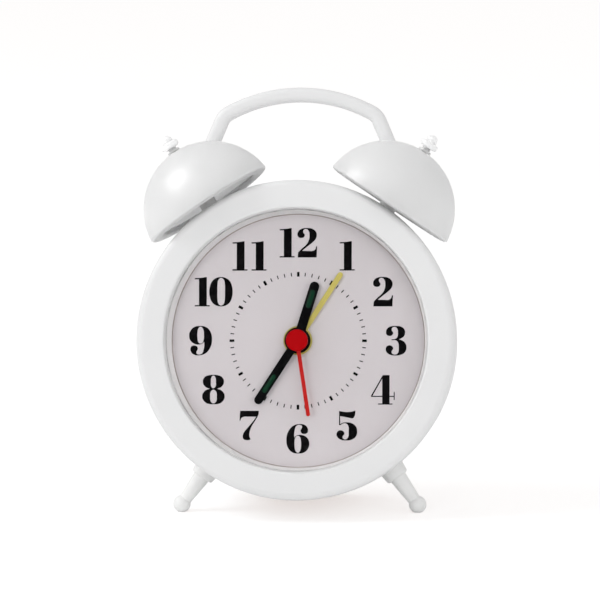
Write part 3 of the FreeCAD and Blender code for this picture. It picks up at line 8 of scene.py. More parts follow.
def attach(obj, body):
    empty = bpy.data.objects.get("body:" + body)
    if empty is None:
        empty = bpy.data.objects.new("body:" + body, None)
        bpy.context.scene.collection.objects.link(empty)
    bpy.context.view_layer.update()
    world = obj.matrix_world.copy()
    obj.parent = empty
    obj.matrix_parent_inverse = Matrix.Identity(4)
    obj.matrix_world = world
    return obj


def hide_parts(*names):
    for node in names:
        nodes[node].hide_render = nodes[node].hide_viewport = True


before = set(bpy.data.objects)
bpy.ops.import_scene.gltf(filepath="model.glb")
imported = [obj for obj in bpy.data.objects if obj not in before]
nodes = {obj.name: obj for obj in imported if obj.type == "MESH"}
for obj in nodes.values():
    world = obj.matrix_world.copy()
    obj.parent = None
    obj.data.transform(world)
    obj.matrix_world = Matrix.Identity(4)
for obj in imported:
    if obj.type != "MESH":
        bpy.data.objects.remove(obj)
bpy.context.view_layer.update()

# ---------------------------------------------------------------------------
# The clock's stand and the camera.  The clock leans back on two ball feet and on
# the rear edge of its case.  A long lens looks at it from a little to the right
# of the dial and a little above it, so both bells show and the handle stays thin.

LEAN = math.radians(11.2276)
AXIS_HEIGHT = 0.042849
AXIS_DEPTH = 0.020409
RING_FRONT = 41.5
VIEW_AZIMUTH = math.radians(4.5)
VIEW_ELEVATION = math.radians(9.2)
VIEW_ROLL = math.radians(-0.73)
VIEW_DISTANCE = 1.2
AIM_RIGHT = 0.00146
AIM_UP = 0.01117


def stand(points):
    """Takes millimetres in the clock's own frame (x right, y up the dial, z out of
    it) to metres in the room: a turn about x by the lean, then a shift to the axis."""
    x, y, z = np.moveaxis(np.asarray(points, float) / 1000, -1, 0)
    return np.stack([
        x,
        y * math.sin(LEAN) - z * math.cos(LEAN) + AXIS_DEPTH,
        y * math.cos(LEAN) + z * math.sin(LEAN) + AXIS_HEIGHT,
    ], axis=-1)


def aim(thing, place, target):
    """Puts a lamp or camera at a place with its own -z towards the target."""
    thing.location = place
    thing.rotation_mode = "QUATERNION"
    thing.rotation_quaternion = (target - place).to_track_quat("-Z", "Y")
    bpy.context.scene.collection.objects.link(thing)


towards_camera = Vector((
    math.sin(VIEW_AZIMUTH) * math.cos(VIEW_ELEVATION),
    -math.cos(VIEW_AZIMUTH) * math.cos(VIEW_ELEVATION),
    math.sin(VIEW_ELEVATION),
))
view_right = Vector((math.cos(VIEW_AZIMUTH), math.sin(VIEW_AZIMUTH), 0))
view_up = towards_camera.cross(view_right)
ring_centre = Vector(stand([0, 0, RING_FRONT]))
view_target = ring_centre + AIM_RIGHT * view_right + AIM_UP * view_up
camera_data = bpy.data.cameras.new("camera")
camera_data.lens = 256
camera_data.sensor_width = 36
camera_data.clip_end = 20
camera = bpy.data.objects.new("camera", camera_data)
aim(camera, view_target + VIEW_DISTANCE * towards_camera, view_target)
camera.rotation_quaternion = (
    camera.rotation_quaternion @ Quaternion((0, 0, 1), VIEW_ROLL))
bpy.context.scene.camera = camera
bpy.context.scene.view_settings.view_transform = "Standard"


# ---------------------------------------------------------------------------
# The studio.  A white table top runs back without an edge under a white sky.  Four
# soft boxes light the clock: the strongest high on the left, nearly in the plane of
# the bells, a tall one left of the camera for the dial's lacquer, and two on the
# right that glossy surfaces don't mirror.

def wire(tree, kind, settings=None, **inputs):
    """Adds a shader node.  Inputs are named, or _0, _1 by their order, and each is a
    plain number or colour, or another node's output to link."""
    made = tree.nodes.new("ShaderNode" + kind)
    for name, value in (settings or {}).items():
        setattr(made, name, value)
    for name, value in inputs.items():
        key = int(name[1:]) if name[0] == "_" else name.replace("_", " ")
        socket = made.inputs[key]
        if isinstance(value, bpy.types.NodeSocket):
            tree.links.new(value, socket)
        else:
            socket.default_value = value
    return made


def new_material(name):
    """An empty node material and its output node."""
    material = bpy.data.materials.new(name)
    material.use_nodes = True
    tree = material.node_tree
    tree.nodes.clear()
    return material, tree, tree.nodes.new("ShaderNodeOutputMaterial")


def softbox(name, place, size, power, mirrored=True):
    """A rectangular lamp towards the clock, which gloss shows only if mirrored."""
    data = bpy.data.lights.new(name, "AREA")
    data.shape = "RECTANGLE"
    data.size, data.size_y = size
    data.energy = power
    lamp = bpy.data.objects.new(name, data)
    lamp.visible_glossy = mirrored
    aim(lamp, Vector(place), Vector((0, 0, 0.05)))


softbox("key_box", (-0.95, -0.14, 0.95), (0.6, 0.6), 6.6)
softbox("fill_box", (0.62, -1.15, 0.25), (0.7, 0.8), 3.2, mirrored=False)
softbox("dial_box", (-0.50, -1.45, 0.42), (0.42, 0.7), 1.9)
softbox("front_box", (0.30, -1.45, 0.78), (0.5, 0.5), 1.6, mirrored=False)

# The camera sees plain white.  All other rays see a white room with a dark opening
# before the dial, a little above the camera, so the lens mirrors little haze over
# the black numerals.
OPENING = (0.0849, -0.9699, 0.2284)
world = bpy.data.worlds.new("studio")
world.use_nodes = True
bpy.context.scene.world = world
sky = world.node_tree
sky.nodes.clear()
rays = wire(sky, "LightPath")
heading = wire(sky, "TexCoord")
facing = wire(sky, "VectorMath", {"operation": "DOT_PRODUCT"},
              _0=heading.outputs["Generated"], _1=OPENING)
room = wire(sky, "MapRange", {"interpolation_type": "SMOOTHSTEP"},
            Value=facing.outputs["Value"], From_Min=0.90, From_Max=0.985,
            To_Min=0.74, To_Max=0.01)
dim_sky = wire(sky, "Background", Color=(1, 1, 1, 1), Strength=room.outputs[0])
white_sky = wire(sky, "Background", Color=(1, 1, 1, 1), Strength=1.0)
sky_mix = wire(sky, "MixShader", _0=rays.outputs["Is Camera Ray"],
               _1=dim_sky.outputs[0], _2=white_sky.outputs[0])
wire(sky, "OutputWorld", Surface=sky_mix.outputs[0])

# The table top throws light back as matt white, and the camera sees it lifted by a
# glow of its own, so that only the clock's soft shadow shows on it.
FLOOR_HALF = 6.0
floor_mesh = bpy.data.meshes.new("table_top")
floor_mesh.from_pydata(
    [(-FLOOR_HALF, -FLOOR_HALF, 0), (FLOOR_HALF, -FLOOR_HALF, 0),
     (FLOOR_HALF, FLOOR_HALF, 0), (-FLOOR_HALF, FLOOR_HALF, 0)],
    [], [(0, 1, 2, 3)],
)
floor = bpy.data.objects.new("table_top", floor_mesh)
bpy.context.scene.collection.objects.link(floor)
floor_material, tree, output = new_material("white table top")
rays = wire(tree, "LightPath")
matt = wire(tree, "BsdfDiffuse", Color=(0.97, 0.97, 0.97, 1))
# The cool lit share and the warm glow sum to white in full light, so the clock's shadow
# on the table shows a painted warm tint.
shown = wire(tree, "BsdfDiffuse", Color=(0.38, 0.44, 0.465, 1))
glow = wire(tree, "Emission", Color=(0.70, 0.64, 0.615, 1),
            Strength=rays.outputs["Is Camera Ray"])
both = wire(tree, "AddShader", _0=shown.outputs[0], _1=glow.outputs[0])
top = wire(tree, "MixShader", _0=rays.outputs["Is Camera Ray"],
           _1=matt.outputs[0], _2=both.outputs[0])
tree.links.new(top.outputs[0], output.inputs["Surface"])
floor_mesh.materials.append(floor_material)


# ---------------------------------------------------------------------------
# Case drum, front ring, chapter ring, bells, posts, finials, handle, feet, rear
# cover, battery cover, knobs and switch: all injection-moulded in white styrene.
# Drum, ring and handle are thick and glossy, with a faint orange peel.  Bells and
# finials are thin shells that light wanders through, and the feet and all of the back
# are satin.  Chapter ring and bell posts get a paler white as painted light, which
# lifts the shade of the recess and of the bells' gaps they sit in.

def new_group(name, inputs, outputs):
    """A shader node group with float inputs and outputs beside a vector input."""
    group = bpy.data.node_groups.new(name, "ShaderNodeTree")
    group.interface.new_socket(
        "Vector", in_out="INPUT", socket_type="NodeSocketVector")
    for label, start in inputs.items():
        socket = group.interface.new_socket(
            label, in_out="INPUT", socket_type="NodeSocketFloat")
        socket.default_value = start
    for label in outputs:
        group.interface.new_socket(
            label, in_out="OUTPUT", socket_type="NodeSocketFloat")
    return group, group.nodes.new("NodeGroupInput"), group.nodes.new("NodeGroupOutput")


def place_group(tree, group, **inputs):
    """Adds a group node.  Its inputs are plain numbers or other nodes' outputs."""
    made = tree.nodes.new("ShaderNodeGroup")
    made.node_tree = group
    for name, value in inputs.items():
        socket = made.inputs[name.replace("_", " ")]
        if isinstance(value, bpy.types.NodeSocket):
            tree.links.new(value, socket)
        else:
            socket.default_value = value
    return made


# Moulded skin: Flow drifts over centimetres as the melt did, Rub marks are fine
# stretched streaks, Dust is a scatter of grains, Height is peel with fine grain.
moulded_skin, given, result = new_group(
    "moulded skin",
    {"Flow Size": 60.0, "Peel Size": 520.0, "Grain Size": 4000.0, "Grain": 0.2},
    ("Flow", "Rub", "Dust", "Height"),
)
flow = wire(moulded_skin, "TexNoise", Vector=given.outputs["Vector"],
            Scale=given.outputs["Flow Size"], Detail=3.0, Roughness=0.55)
moulded_skin.links.new(flow.outputs["Fac"], result.inputs["Flow"])
streaks = wire(moulded_skin, "Mapping", Vector=given.outputs["Vector"],
               Rotation=(0.3, 0.7, 0.5), Scale=(90.0, 1400.0, 500.0))
rub = wire(moulded_skin, "TexNoise", Vector=streaks.outputs[0], Scale=1.0, Detail=4.0)
rub_mask = wire(moulded_skin, "MapRange", Value=rub.outputs["Fac"],
                From_Min=0.62, From_Max=0.80)
moulded_skin.links.new(rub_mask.outputs[0], result.inputs["Rub"])
grains = wire(moulded_skin, "TexVoronoi", Vector=given.outputs["Vector"], Scale=420.0)
dust = wire(moulded_skin, "MapRange", Value=grains.outputs["Distance"],
            From_Min=0.09, From_Max=0.03)
moulded_skin.links.new(dust.outputs[0], result.inputs["Dust"])
peel = wire(moulded_skin, "TexNoise", Vector=given.outputs["Vector"],
            Scale=given.outputs["Peel Size"], Detail=1.5)
grain = wire(moulded_skin, "TexNoise", Vector=given.outputs["Vector"],
             Scale=given.outputs["Grain Size"], Detail=2.0)
grain_share = wire(moulded_skin, "Math", {"operation": "MULTIPLY"},
                   _0=grain.outputs["Fac"], _1=given.outputs["Grain"])
height = wire(moulded_skin, "Math", {"operation": "ADD"},
              _0=peel.outputs["Fac"], _1=grain_share.outputs[0])
moulded_skin.links.new(height.outputs[0], result.inputs["Height"])


def moulding(name, colour, shade, gloss, rubbed_gloss, bump, grain=0.2, subsurface=0.0,
             reach=0.0035, peel_size=520.0, specular=0.5):
    """Moulded plastic: two near colours blended by the melt's flow, roughness that
    rises in the rub marks, dust grains, and a bump of orange peel and grain.  Light
    wanders through it for about its reach where it has subsurface."""
    material, tree, output = new_material(name)
    place = wire(tree, "TexCoord")
    skin = place_group(tree, moulded_skin, Vector=place.outputs["Object"],
                       Grain=grain, Peel_Size=peel_size)
    body = wire(tree, "Mix", {"data_type": "RGBA"}, Factor=skin.outputs["Flow"])
    body.inputs[6].default_value = (*shade, 1)
    body.inputs[7].default_value = (*colour, 1)
    dusty = wire(tree, "Math", {"operation": "MULTIPLY"},
                 _0=skin.outputs["Dust"], _1=0.12)
    dusted = wire(tree, "Mix", {"data_type": "RGBA"}, Factor=dusty.outputs[0])
    tree.links.new(body.outputs[2], dusted.inputs[6])
    dusted.inputs[7].default_value = (0.55, 0.54, 0.52, 1)
    rough = wire(tree, "MapRange", Value=skin.outputs["Rub"],
                 To_Min=gloss, To_Max=rubbed_gloss)
    bumped = wire(tree, "Bump", Strength=0.5, Distance=bump,
                  Height=skin.outputs["Height"])
    plastic = wire(
        tree, "BsdfPrincipled", Base_Color=dusted.outputs[2],
        Roughness=rough.outputs[0], Normal=bumped.outputs[0],
    )
    plastic.inputs["IOR"].default_value = 1.53
    plastic.inputs["Specular IOR Level"].default_value = specular
    plastic.inputs["Subsurface Weight"].default_value = subsurface
    plastic.inputs["Subsurface Radius"].default_value = (reach, reach, reach)
    plastic.inputs["Subsurface Scale"].default_value = 1.0
    tree.links.new(plastic.outputs[0], output.inputs["Surface"])
    return material


def dress(material, *names):
    """Gives CAD nodes their finish in place of the plain one they came with."""
    for name in names:
        for slot in nodes[name].material_slots:
            slot.material = material


gloss_white = moulding(
    "gloss white styrene", (0.735, 0.735, 0.735), (0.705, 0.705, 0.71),
    gloss=0.36, rubbed_gloss=0.38, bump=0.000007, specular=0.4,
)
dress(gloss_white, "case_body", "front_bezel", "handle")
thin_white = moulding(
    "thin glossy styrene shell", (0.95, 0.95, 0.95), (0.94, 0.94, 0.94),
    gloss=0.37, rubbed_gloss=0.39, bump=0.000007, specular=0.95, subsurface=1.0,
    reach=0.006,
)
dress(thin_white, "bell_left", "bell_right", "finial_left", "finial_right")
# Painted light: chapter ring and bell posts are paler than the rest of the styrene,
# standing in for light that their recess and gaps shade off.
shade_lifted_white = moulding(
    "white liner lifted against shade", (0.95, 0.95, 0.94), (0.93, 0.93, 0.925),
    gloss=0.32, rubbed_gloss=0.38, bump=0.000005,
)
dress(shade_lifted_white, "chapter_ring", "bell_post_left", "bell_post_right")
satin_white = moulding(
    "satin white styrene", (0.80, 0.80, 0.79), (0.76, 0.76, 0.755),
    gloss=0.42, rubbed_gloss=0.52, bump=0.00003, grain=0.6,
)
dress(satin_white, "foot_left", "foot_right", "rear_cover", "battery_cover",
      "time_knob", "alarm_knob", "alarm_switch")


def new_piece(name, points, faces, material, body, smooth=True):
    """A mesh object at the origin whose points are already where the piece stands."""
    mesh = bpy.data.meshes.new(name)
    mesh.from_pydata([tuple(p) for p in points], [], faces)
    mesh.validate()
    mesh.polygons.foreach_set("use_smooth", [smooth] * len(mesh.polygons))
    mesh.materials.append(material)
    piece = bpy.data.objects.new(name, mesh)
    bpy.context.scene.collection.objects.link(piece)
    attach(piece, body)
    return piece


def tube_faces(rows, columns):
    """Faces of a closed skin of rings, all of the same count, with both ends filled."""
    sides = [(i * columns + j, i * columns + (j + 1) % columns,
              (i + 1) * columns + (j + 1) % columns, (i + 1) * columns + j)
             for i in range(rows - 1) for j in range(columns)]
    last = (rows - 1) * columns
    return sides + [tuple(reversed(range(columns))), tuple(range(last, last + columns))]


def hoop_faces(rows, columns):
    """Faces of a closed hoop: rings round a loop, the last joined to the first."""
    return [(i * columns + j, i * columns + (j + 1) % columns,
             ((i + 1) % rows) * columns + (j + 1) % columns,
             ((i + 1) % rows) * columns + j)
            for i in range(rows) for j in range(columns)]


# ---------------------------------------------------------------------------
# Bell lips: each dome's edge is rolled to a soft round bead, a little thicker than
# the shell and of one piece with it, which fills out the rim of its mouth.

BELL_ANGLE = math.radians(33.6)
BELL_PLANE = 29.5
LIP_DISTANCE = 46.9
LIP_RADIUS = 17.2
LIP_ROLL = (2.2, 0.9)  # half its width across the rim, and half its height
around = np.linspace(0, 2 * np.pi, 180, endpoint=False)
section = np.linspace(0, 2 * np.pi, 20, endpoint=False)
reach = LIP_RADIUS + LIP_ROLL[0] * np.cos(section)[None, :]
along = LIP_DISTANCE + LIP_ROLL[1] * np.sin(section)[None, :]
across = reach * np.cos(around)[:, None]
for side, sign in (("left", -1), ("right", 1)):
    ring = np.stack([
        across * math.cos(BELL_ANGLE) + sign * along * math.sin(BELL_ANGLE),
        along * math.cos(BELL_ANGLE) - sign * across * math.sin(BELL_ANGLE),
        BELL_PLANE + reach * np.sin(around)[:, None],
    ], axis=-1)
    lip = new_piece("bell_lip_" + side, stand(ring.reshape(-1, 3)),
                    hoop_faces(len(around), len(section)), thin_white, "case")


# ---------------------------------------------------------------------------
# Lens: a flat disc of clear acrylic behind the ring's lip, with fine wipe marks.
# Lamps pass it by a see-through shader, so the dial behind is lit as it is.

lens_material, tree, output = new_material("clear acrylic")
place = wire(tree, "TexCoord")
skin = place_group(tree, moulded_skin, Vector=place.outputs["Object"])
wiped = wire(tree, "MapRange", Value=skin.outputs["Rub"], To_Min=0.0, To_Max=0.06)
acrylic = wire(tree, "BsdfPrincipled", Roughness=wiped.outputs[0])
acrylic.inputs["Base Color"].default_value = (1, 1, 1, 1)
acrylic.inputs["IOR"].default_value = 1.49
acrylic.inputs["Transmission Weight"].default_value = 1.0
clear = wire(tree, "BsdfTransparent", Color=(0.97, 0.97, 0.97, 1))
rays = wire(tree, "LightPath")
passing = wire(tree, "MixShader", _0=rays.outputs["Is Shadow Ray"],
               _1=acrylic.outputs[0], _2=clear.outputs[0])
tree.links.new(passing.outputs[0], output.inputs["Surface"])
dress(lens_material, "lens")


# ---------------------------------------------------------------------------
# Dial: a disc of aluminium sheet with a fine silver-grey satin lacquer, held by
# the chapter ring.  It is bare but for its printed numerals, minute marks and edge.

dial_material, tree, output = new_material("silver lacquered sheet")
place = wire(tree, "TexCoord")
skin = place_group(tree, moulded_skin, Vector=place.outputs["Object"],
                   Flow_Size=35.0, Peel_Size=1500.0, Grain=0.8)
body = wire(tree, "Mix", {"data_type": "RGBA"}, Factor=skin.outputs["Flow"])
body.inputs[6].default_value = (0.775, 0.728, 0.747, 1)
body.inputs[7].default_value = (0.83, 0.781, 0.801, 1)
rough = wire(tree, "MapRange", Value=skin.outputs["Rub"], To_Min=0.32, To_Max=0.37)
bumped = wire(tree, "Bump", Strength=0.35, Distance=0.00001,
              Height=skin.outputs["Height"])
lacquer = wire(tree, "BsdfPrincipled", Base_Color=body.outputs[2],
               Roughness=rough.outputs[0], Normal=bumped.outputs[0])
lacquer.inputs["Metallic"].default_value = 0.42
tree.links.new(lacquer.outputs[0], output.inputs["Surface"])
dress(dial_material, "dial")


# ---------------------------------------------------------------------------
# Numerals: thick black screen-printed ink in upright fat-face figures, all of one
# height and none turned.  Each outline is drawn in hundredths of that height.

DIAL_FACE = 31.0
INK_FILM = 0.03
FIGURE_HEIGHT = 8.35
FIGURE_RING = 27.8
# Points of each outline: across, up, and 1 at a corner.  All others are smooth.
FIGURES = {
    "0": [
        [(0, 50), (2, 67), (9, 85), (22, 96), (40, 100), (58, 96), (71, 85), (78, 67),
         (80, 50), (78, 33), (71, 15), (58, 4), (40, 0), (22, 4), (9, 15), (2, 33)],
        [(27.5, 50), (28, 75), (31, 90), (40.5, 97), (50, 90), (53, 75), (53.5, 50),
         (53, 25), (50, 10), (40.5, 3), (31, 10), (28, 25)],
    ],
    "1": [
        [(0, 0, 1), (51, 0, 1), (51, 4.4, 1), (41, 4.4, 1), (41, 100, 1), (36, 100, 1),
         (28, 98.3), (14, 97), (0, 96.6, 1), (0, 92.2, 1), (14.3, 92.2, 1),
         (14.3, 4.4, 1), (0, 4.4, 1)],
    ],
    "2": [
        [(1, 0, 1), (2.5, 17, 1), (15, 30), (31, 44.5), (38.7, 58), (41.3, 75),
         (38.5, 90), (29, 97), (21, 93), (20, 85), (24.8, 78), (22.5, 70), (12.5, 66.3),
         (2.7, 70.5), (0, 79), (4.5, 91), (17, 98.5), (33, 100.3), (52, 97), (64, 86),
         (66, 74), (61, 61), (50, 50), (35, 38), (16, 22.5, 1), (38, 22.3), (54, 23),
         (61, 28), (64, 38, 1), (67.5, 38, 1), (65.5, 0, 1)],
    ],
    "3": [
        [(20, 51.7, 1), (20, 55.3, 1), (31, 55.8), (38.5, 61), (41.6, 77), (39, 91),
         (30, 97), (21.5, 92.5), (20.5, 85), (25.3, 78), (22.5, 70), (12.5, 66.3),
         (3.5, 70.5), (1, 79), (5, 91), (17, 98.5), (34, 100.3), (54, 97), (64.5, 87),
         (66, 77), (60.5, 64), (50, 57), (45, 54.6, 1), (57, 50.5), (67, 41),
         (70.5, 29), (66, 12), (52, 2.5), (33, 0), (14, 3), (2.5, 12), (0, 21),
         (3, 30.5), (12, 34.5), (22, 31), (25.5, 23), (20.5, 15), (21, 8), (31, 3),
         (41, 8), (44.3, 28), (42, 44), (35, 51)],
    ],
    "4": [
        [(0, 30, 1), (40, 100, 1), (63, 100, 1), (63, 29.5, 1), (77, 29.5, 1),
         (77, 43, 1), (80.5, 43, 1), (80.5, 15.5, 1), (77, 15.5, 1), (77, 26, 1),
         (63, 26, 1), (63, 3.8, 1), (73, 3.8, 1), (73, 0, 1), (24, 0, 1), (24, 3.8, 1),
         (38, 3.8, 1), (38, 26, 1), (0, 26, 1)],
        [(5, 29.5, 1), (38, 29.5, 1), (38, 88, 1)],
    ],
    "5": [
        [(8.5, 100, 1), (24, 97.3), (40, 96.5), (53, 98), (62, 101, 1), (64.5, 101, 1),
         (61, 82), (55, 75.3), (47, 76), (30, 79.3), (12.3, 82.5, 1), (12.3, 55.5, 1),
         (20, 59.7), (33, 61.5), (54, 57.5), (67, 45), (70, 33), (66, 14), (52, 3),
         (32, 0), (13, 3.5), (2, 13), (0, 22), (4, 31), (14, 34.5), (23.5, 30.5),
         (26.5, 22), (21.5, 15), (21, 8.5), (29, 3.3), (38, 9), (41.3, 30), (39, 51),
         (31, 58), (21, 57), (13, 51.8, 1), (8.5, 51.8, 1)],
    ],
    "6": [
        [(26.8, 54, 1), (26.2, 66), (28.3, 80), (33.5, 93), (44, 97.3), (52.5, 93.5),
         (53, 88), (48.5, 79), (51, 70), (61, 66.4), (71, 70.5), (73.6, 79), (70, 90.5),
         (60, 98), (46.5, 100.3), (24, 94.5), (7.5, 77), (0, 50), (5.5, 19), (20, 4),
         (40, 0), (62, 4.5), (75, 19), (78, 34), (73, 50.5), (60, 60.5), (45, 63.3),
         (33.5, 60.3)],
        [(27.5, 30), (28.8, 49), (32.5, 57), (39, 60), (46, 56), (49.6, 41), (49.8, 24),
         (46, 8), (39, 2.7), (31.5, 8.5)],
    ],
    "7": [
        [(2, 100, 1), (0, 66, 1), (2.8, 66, 1), (6.5, 75.5), (15, 79.5), (30, 80),
         (57, 80, 1), (48, 67), (29, 44), (15.5, 27), (11, 14), (14, 4), (24, 0.2),
         (36, 1.2, 1), (37.3, 4), (33.7, 13), (34.5, 28), (40.5, 45), (53, 66),
         (62, 81), (65.3, 92), (65.5, 100, 1)],
    ],
    "8": [
        [(26, 53, 1), (10, 60), (2, 77), (9, 93), (23, 99), (38, 100.4), (53, 99),
         (67, 93), (74.5, 77), (66.5, 60), (51, 53, 1), (68, 45.5), (77, 27), (67, 7),
         (54, 1.2), (38.5, 0), (23, 1.2), (10, 7), (0, 27), (9, 45.5)],
        [(29.8, 76), (31.3, 91), (38.2, 97.6), (45.2, 91), (46.8, 76), (45.2, 60),
         (38.2, 54.6), (31.3, 60)],
        [(27.2, 27), (29.3, 42.5), (38.6, 49.6), (48, 42.5), (50, 27), (48, 10),
         (38.6, 3), (29.3, 10)],
    ],
}
# The nine is the six turned half a turn.
FIGURES["9"] = [[(78 - at[0], 100 - at[1], *at[2:]) for at in line]
                for line in FIGURES["6"]]
FIGURE_WIDTHS = {"0": 80, "1": 51, "2": 67, "3": 70, "4": 80, "5": 70, "6": 78, "7": 65,
                 "8": 77, "9": 78}
PAIR_GAPS = {"10": -1.5, "11": 14, "12": 9.5}


def figure_mesh(digit):
    """A printed figure as a closed film: its outlines are smooth closed curves with
    corners where flagged, the inner ones cut out, and the film has both its faces."""
    curve = bpy.data.curves.new("figure_" + digit, "CURVE")
    curve.dimensions = "2D"
    curve.fill_mode = "BOTH"
    curve.extrude = INK_FILM / 2
    curve.resolution_u = 6
    for line in FIGURES[digit]:
        spline = curve.splines.new("BEZIER")
        spline.bezier_points.add(len(line) - 1)
        spline.use_cyclic_u = True
        for point, at in zip(spline.bezier_points, line):
            point.co = (at[0], at[1], 0)
            kind = "VECTOR" if len(at) > 2 else "AUTO"
            point.handle_left_type = point.handle_right_type = kind
    drawn = bpy.data.objects.new("drawn_figure", curve)
    bpy.context.scene.collection.objects.link(drawn)
    shape = bpy.data.meshes.new_from_object(
        drawn.evaluated_get(bpy.context.evaluated_depsgraph_get()))
    points = np.empty(len(shape.vertices) * 3)
    shape.vertices.foreach_get("co", points)
    faces = [tuple(face.vertices) for face in shape.polygons]
    bpy.data.objects.remove(drawn)
    bpy.data.curves.remove(curve)
    bpy.data.meshes.remove(shape)
    return points.reshape(-1, 3), faces


ink, tree, output = new_material("black screen ink")
place = wire(tree, "TexCoord")
skin = place_group(tree, moulded_skin, Vector=place.outputs["Object"],
                   Flow_Size=300.0, Peel_Size=2500.0, Grain=0.8)
body = wire(tree, "Mix", {"data_type": "RGBA"}, Factor=skin.outputs["Flow"])
body.inputs[6].default_value = (0.0010, 0.0008, 0.0012, 1)
body.inputs[7].default_value = (0.0030, 0.0022, 0.0030, 1)
rough = wire(tree, "MapRange", Value=skin.outputs["Flow"], To_Min=0.38, To_Max=0.55)
bumped = wire(tree, "Bump", Strength=0.3, Distance=0.00001,
              Height=skin.outputs["Height"])
film = wire(tree, "BsdfPrincipled", Base_Color=body.outputs[2],
            Roughness=rough.outputs[0], Normal=bumped.outputs[0])
film.inputs["Specular IOR Level"].default_value = 0.06
tree.links.new(film.outputs[0], output.inputs["Surface"])

drawn_figures = {digit: figure_mesh(digit) for digit in FIGURES}
unit = FIGURE_HEIGHT / 100
all_points, all_faces, count = [], [], 0
for hour in range(1, 13):
    text = str(hour)
    gap = PAIR_GAPS.get(text, 0)
    width = sum(FIGURE_WIDTHS[digit] for digit in text) + gap
    turn = math.radians(30 * hour)
    left = FIGURE_RING * math.sin(turn) - width * unit / 2
    low = FIGURE_RING * math.cos(turn) - FIGURE_HEIGHT / 2
    for digit in text:
        points, faces = drawn_figures[digit]
        placed = points * (unit, unit, 1) + (left, low, DIAL_FACE + INK_FILM / 2)
        all_points.append(placed)
        all_faces += [tuple(v + count for v in face) for face in faces]
        count += len(points)
        left += (FIGURE_WIDTHS[digit] + gap) * unit
numerals = new_piece(
    "numerals", stand(np.concatenate(all_points)), all_faces, ink, "case", smooth=False)


# ---------------------------------------------------------------------------
# Minute marks: sixty short radial bars of the same ink between the hands and the
# numerals, each fifth one wider and a little longer.

TRACK_RADIUS = 18.85
FIFTH_MARK = (0.36, 0.68)  # half its width and half its length
MINUTE_MARK = (0.145, 0.52)
bars = np.array([(-1, -1), (1, -1), (1, 1), (-1, 1)])
all_points, all_faces = [], []
for minute in range(60):
    half = FIFTH_MARK if minute % 5 == 0 else MINUTE_MARK
    flat = bars * half + (0, TRACK_RADIUS)
    turn = math.radians(-6 * minute)
    spun = flat @ np.array([(math.cos(turn), math.sin(turn)),
                            (-math.sin(turn), math.cos(turn))])
    for level in (DIAL_FACE, DIAL_FACE + INK_FILM):
        all_points.append(np.column_stack([spun, np.full(4, level)]))
    first = 8 * minute
    sides = [(first + i, first + (i + 1) % 4, first + 4 + (i + 1) % 4, first + 4 + i)
             for i in range(4)]
    all_faces += [tuple(first + i for i in (3, 2, 1, 0)),
                  tuple(first + 4 + i for i in range(4)), *sides]
minute_marks = new_piece(
    "minute_marks", stand(np.concatenate(all_points)), all_faces, ink, "case",
    smooth=False)


# ---------------------------------------------------------------------------
# Dial edge: a thin ring of dark brown round the dial, half hidden in the groove
# under the chapter ring.  It is painted shade, standing in for the shadow in the gap
# between chapter ring and dial.

GAP_SHADE_RADII = (35.78, 36.45)  # its inner and outer radius
spokes = np.linspace(0, 2 * np.pi, 240, endpoint=False)
profile = np.array([(GAP_SHADE_RADII[0], 0), (GAP_SHADE_RADII[1], 0), (GAP_SHADE_RADII[1], INK_FILM),
                    (GAP_SHADE_RADII[0], INK_FILM)])
hoop = np.stack([
    profile[None, :, 0] * np.sin(spokes)[:, None],
    profile[None, :, 0] * np.cos(spokes)[:, None],
    np.repeat(DIAL_FACE + profile[None, :, 1], len(spokes), axis=0),
], axis=-1).reshape(-1, 3)
# Painted shade: the dark brown of the ring that stands in for the gap's shadow.
painted_gap_shade = moulding("painted gap shade", (0.48, 0.40, 0.37), (0.40, 0.33, 0.31),
                     0.5, 0.6, 0.00001, grain=0.6)
gap_shade_ring = new_piece(
    "dial_gap_shade", stand(hoop), hoop_faces(len(spokes), len(profile)), painted_gap_shade,
    "case", smooth=False)


# ---------------------------------------------------------------------------
# Hands: thin stamped aluminium, painted.  Hour and minute hands are satin black
# with a glossy dark green lume insert near the tip, the second hand is red under a
# thick round cap, and the alarm hand is yellow.

def paint(name, colour, shade, gloss, bump=0.00001):
    """Sprayed paint on metal: colour drifts a little, and its skin has fine peel."""
    return moulding(name, colour, shade, gloss, gloss + 0.12, bump, grain=0.5,
                    peel_size=1400.0, specular=0.03)


black_paint = paint(
    "black hand paint", (0.004, 0.004, 0.0045), (0.002, 0.002, 0.0025), 0.4)
red_paint = paint("red hand paint", (0.58, 0.022, 0.018), (0.53, 0.018, 0.016), 0.3)
yellow_paint = paint("yellow hand paint", (0.67, 0.58, 0.17), (0.62, 0.53, 0.13), 0.35)

# The second hand's round cap, pressed on, is in a deeper red, which the red paint takes
# above a level across the axis at the cap's foot.
CAP_FOOT = 35.55
CAP_RED = (0.46, 0.0005, 0.003, 1)
outward = Vector((0, -math.cos(LEAN), math.sin(LEAN)))
cap_level = outward.dot(Vector(stand([0, 0, CAP_FOOT])))
tree = red_paint.node_tree
sprayed = tree.nodes["Principled BSDF"].inputs["Base Color"]
place = wire(tree, "TexCoord")
level = wire(tree, "VectorMath", {"operation": "DOT_PRODUCT"},
             _0=place.outputs["Object"], _1=outward)
on_cap = wire(tree, "MapRange", Value=level.outputs["Value"],
              From_Min=cap_level, From_Max=cap_level + 0.00005)
reds = wire(tree, "Mix", {"data_type": "RGBA"}, Factor=on_cap.outputs[0])
tree.links.new(sprayed.links[0].from_socket, reds.inputs[6])
reds.inputs[7].default_value = CAP_RED
tree.links.new(reds.outputs[2], sprayed)

dress(black_paint, "hour_hand", "minute_hand")
dress(red_paint, "second_hand")
dress(yellow_paint, "alarm_hand")

lume = moulding("dark green lume", (0.003, 0.042, 0.018), (0.002, 0.026, 0.011),
                0.16, 0.22, 0.00001, specular=0.12)


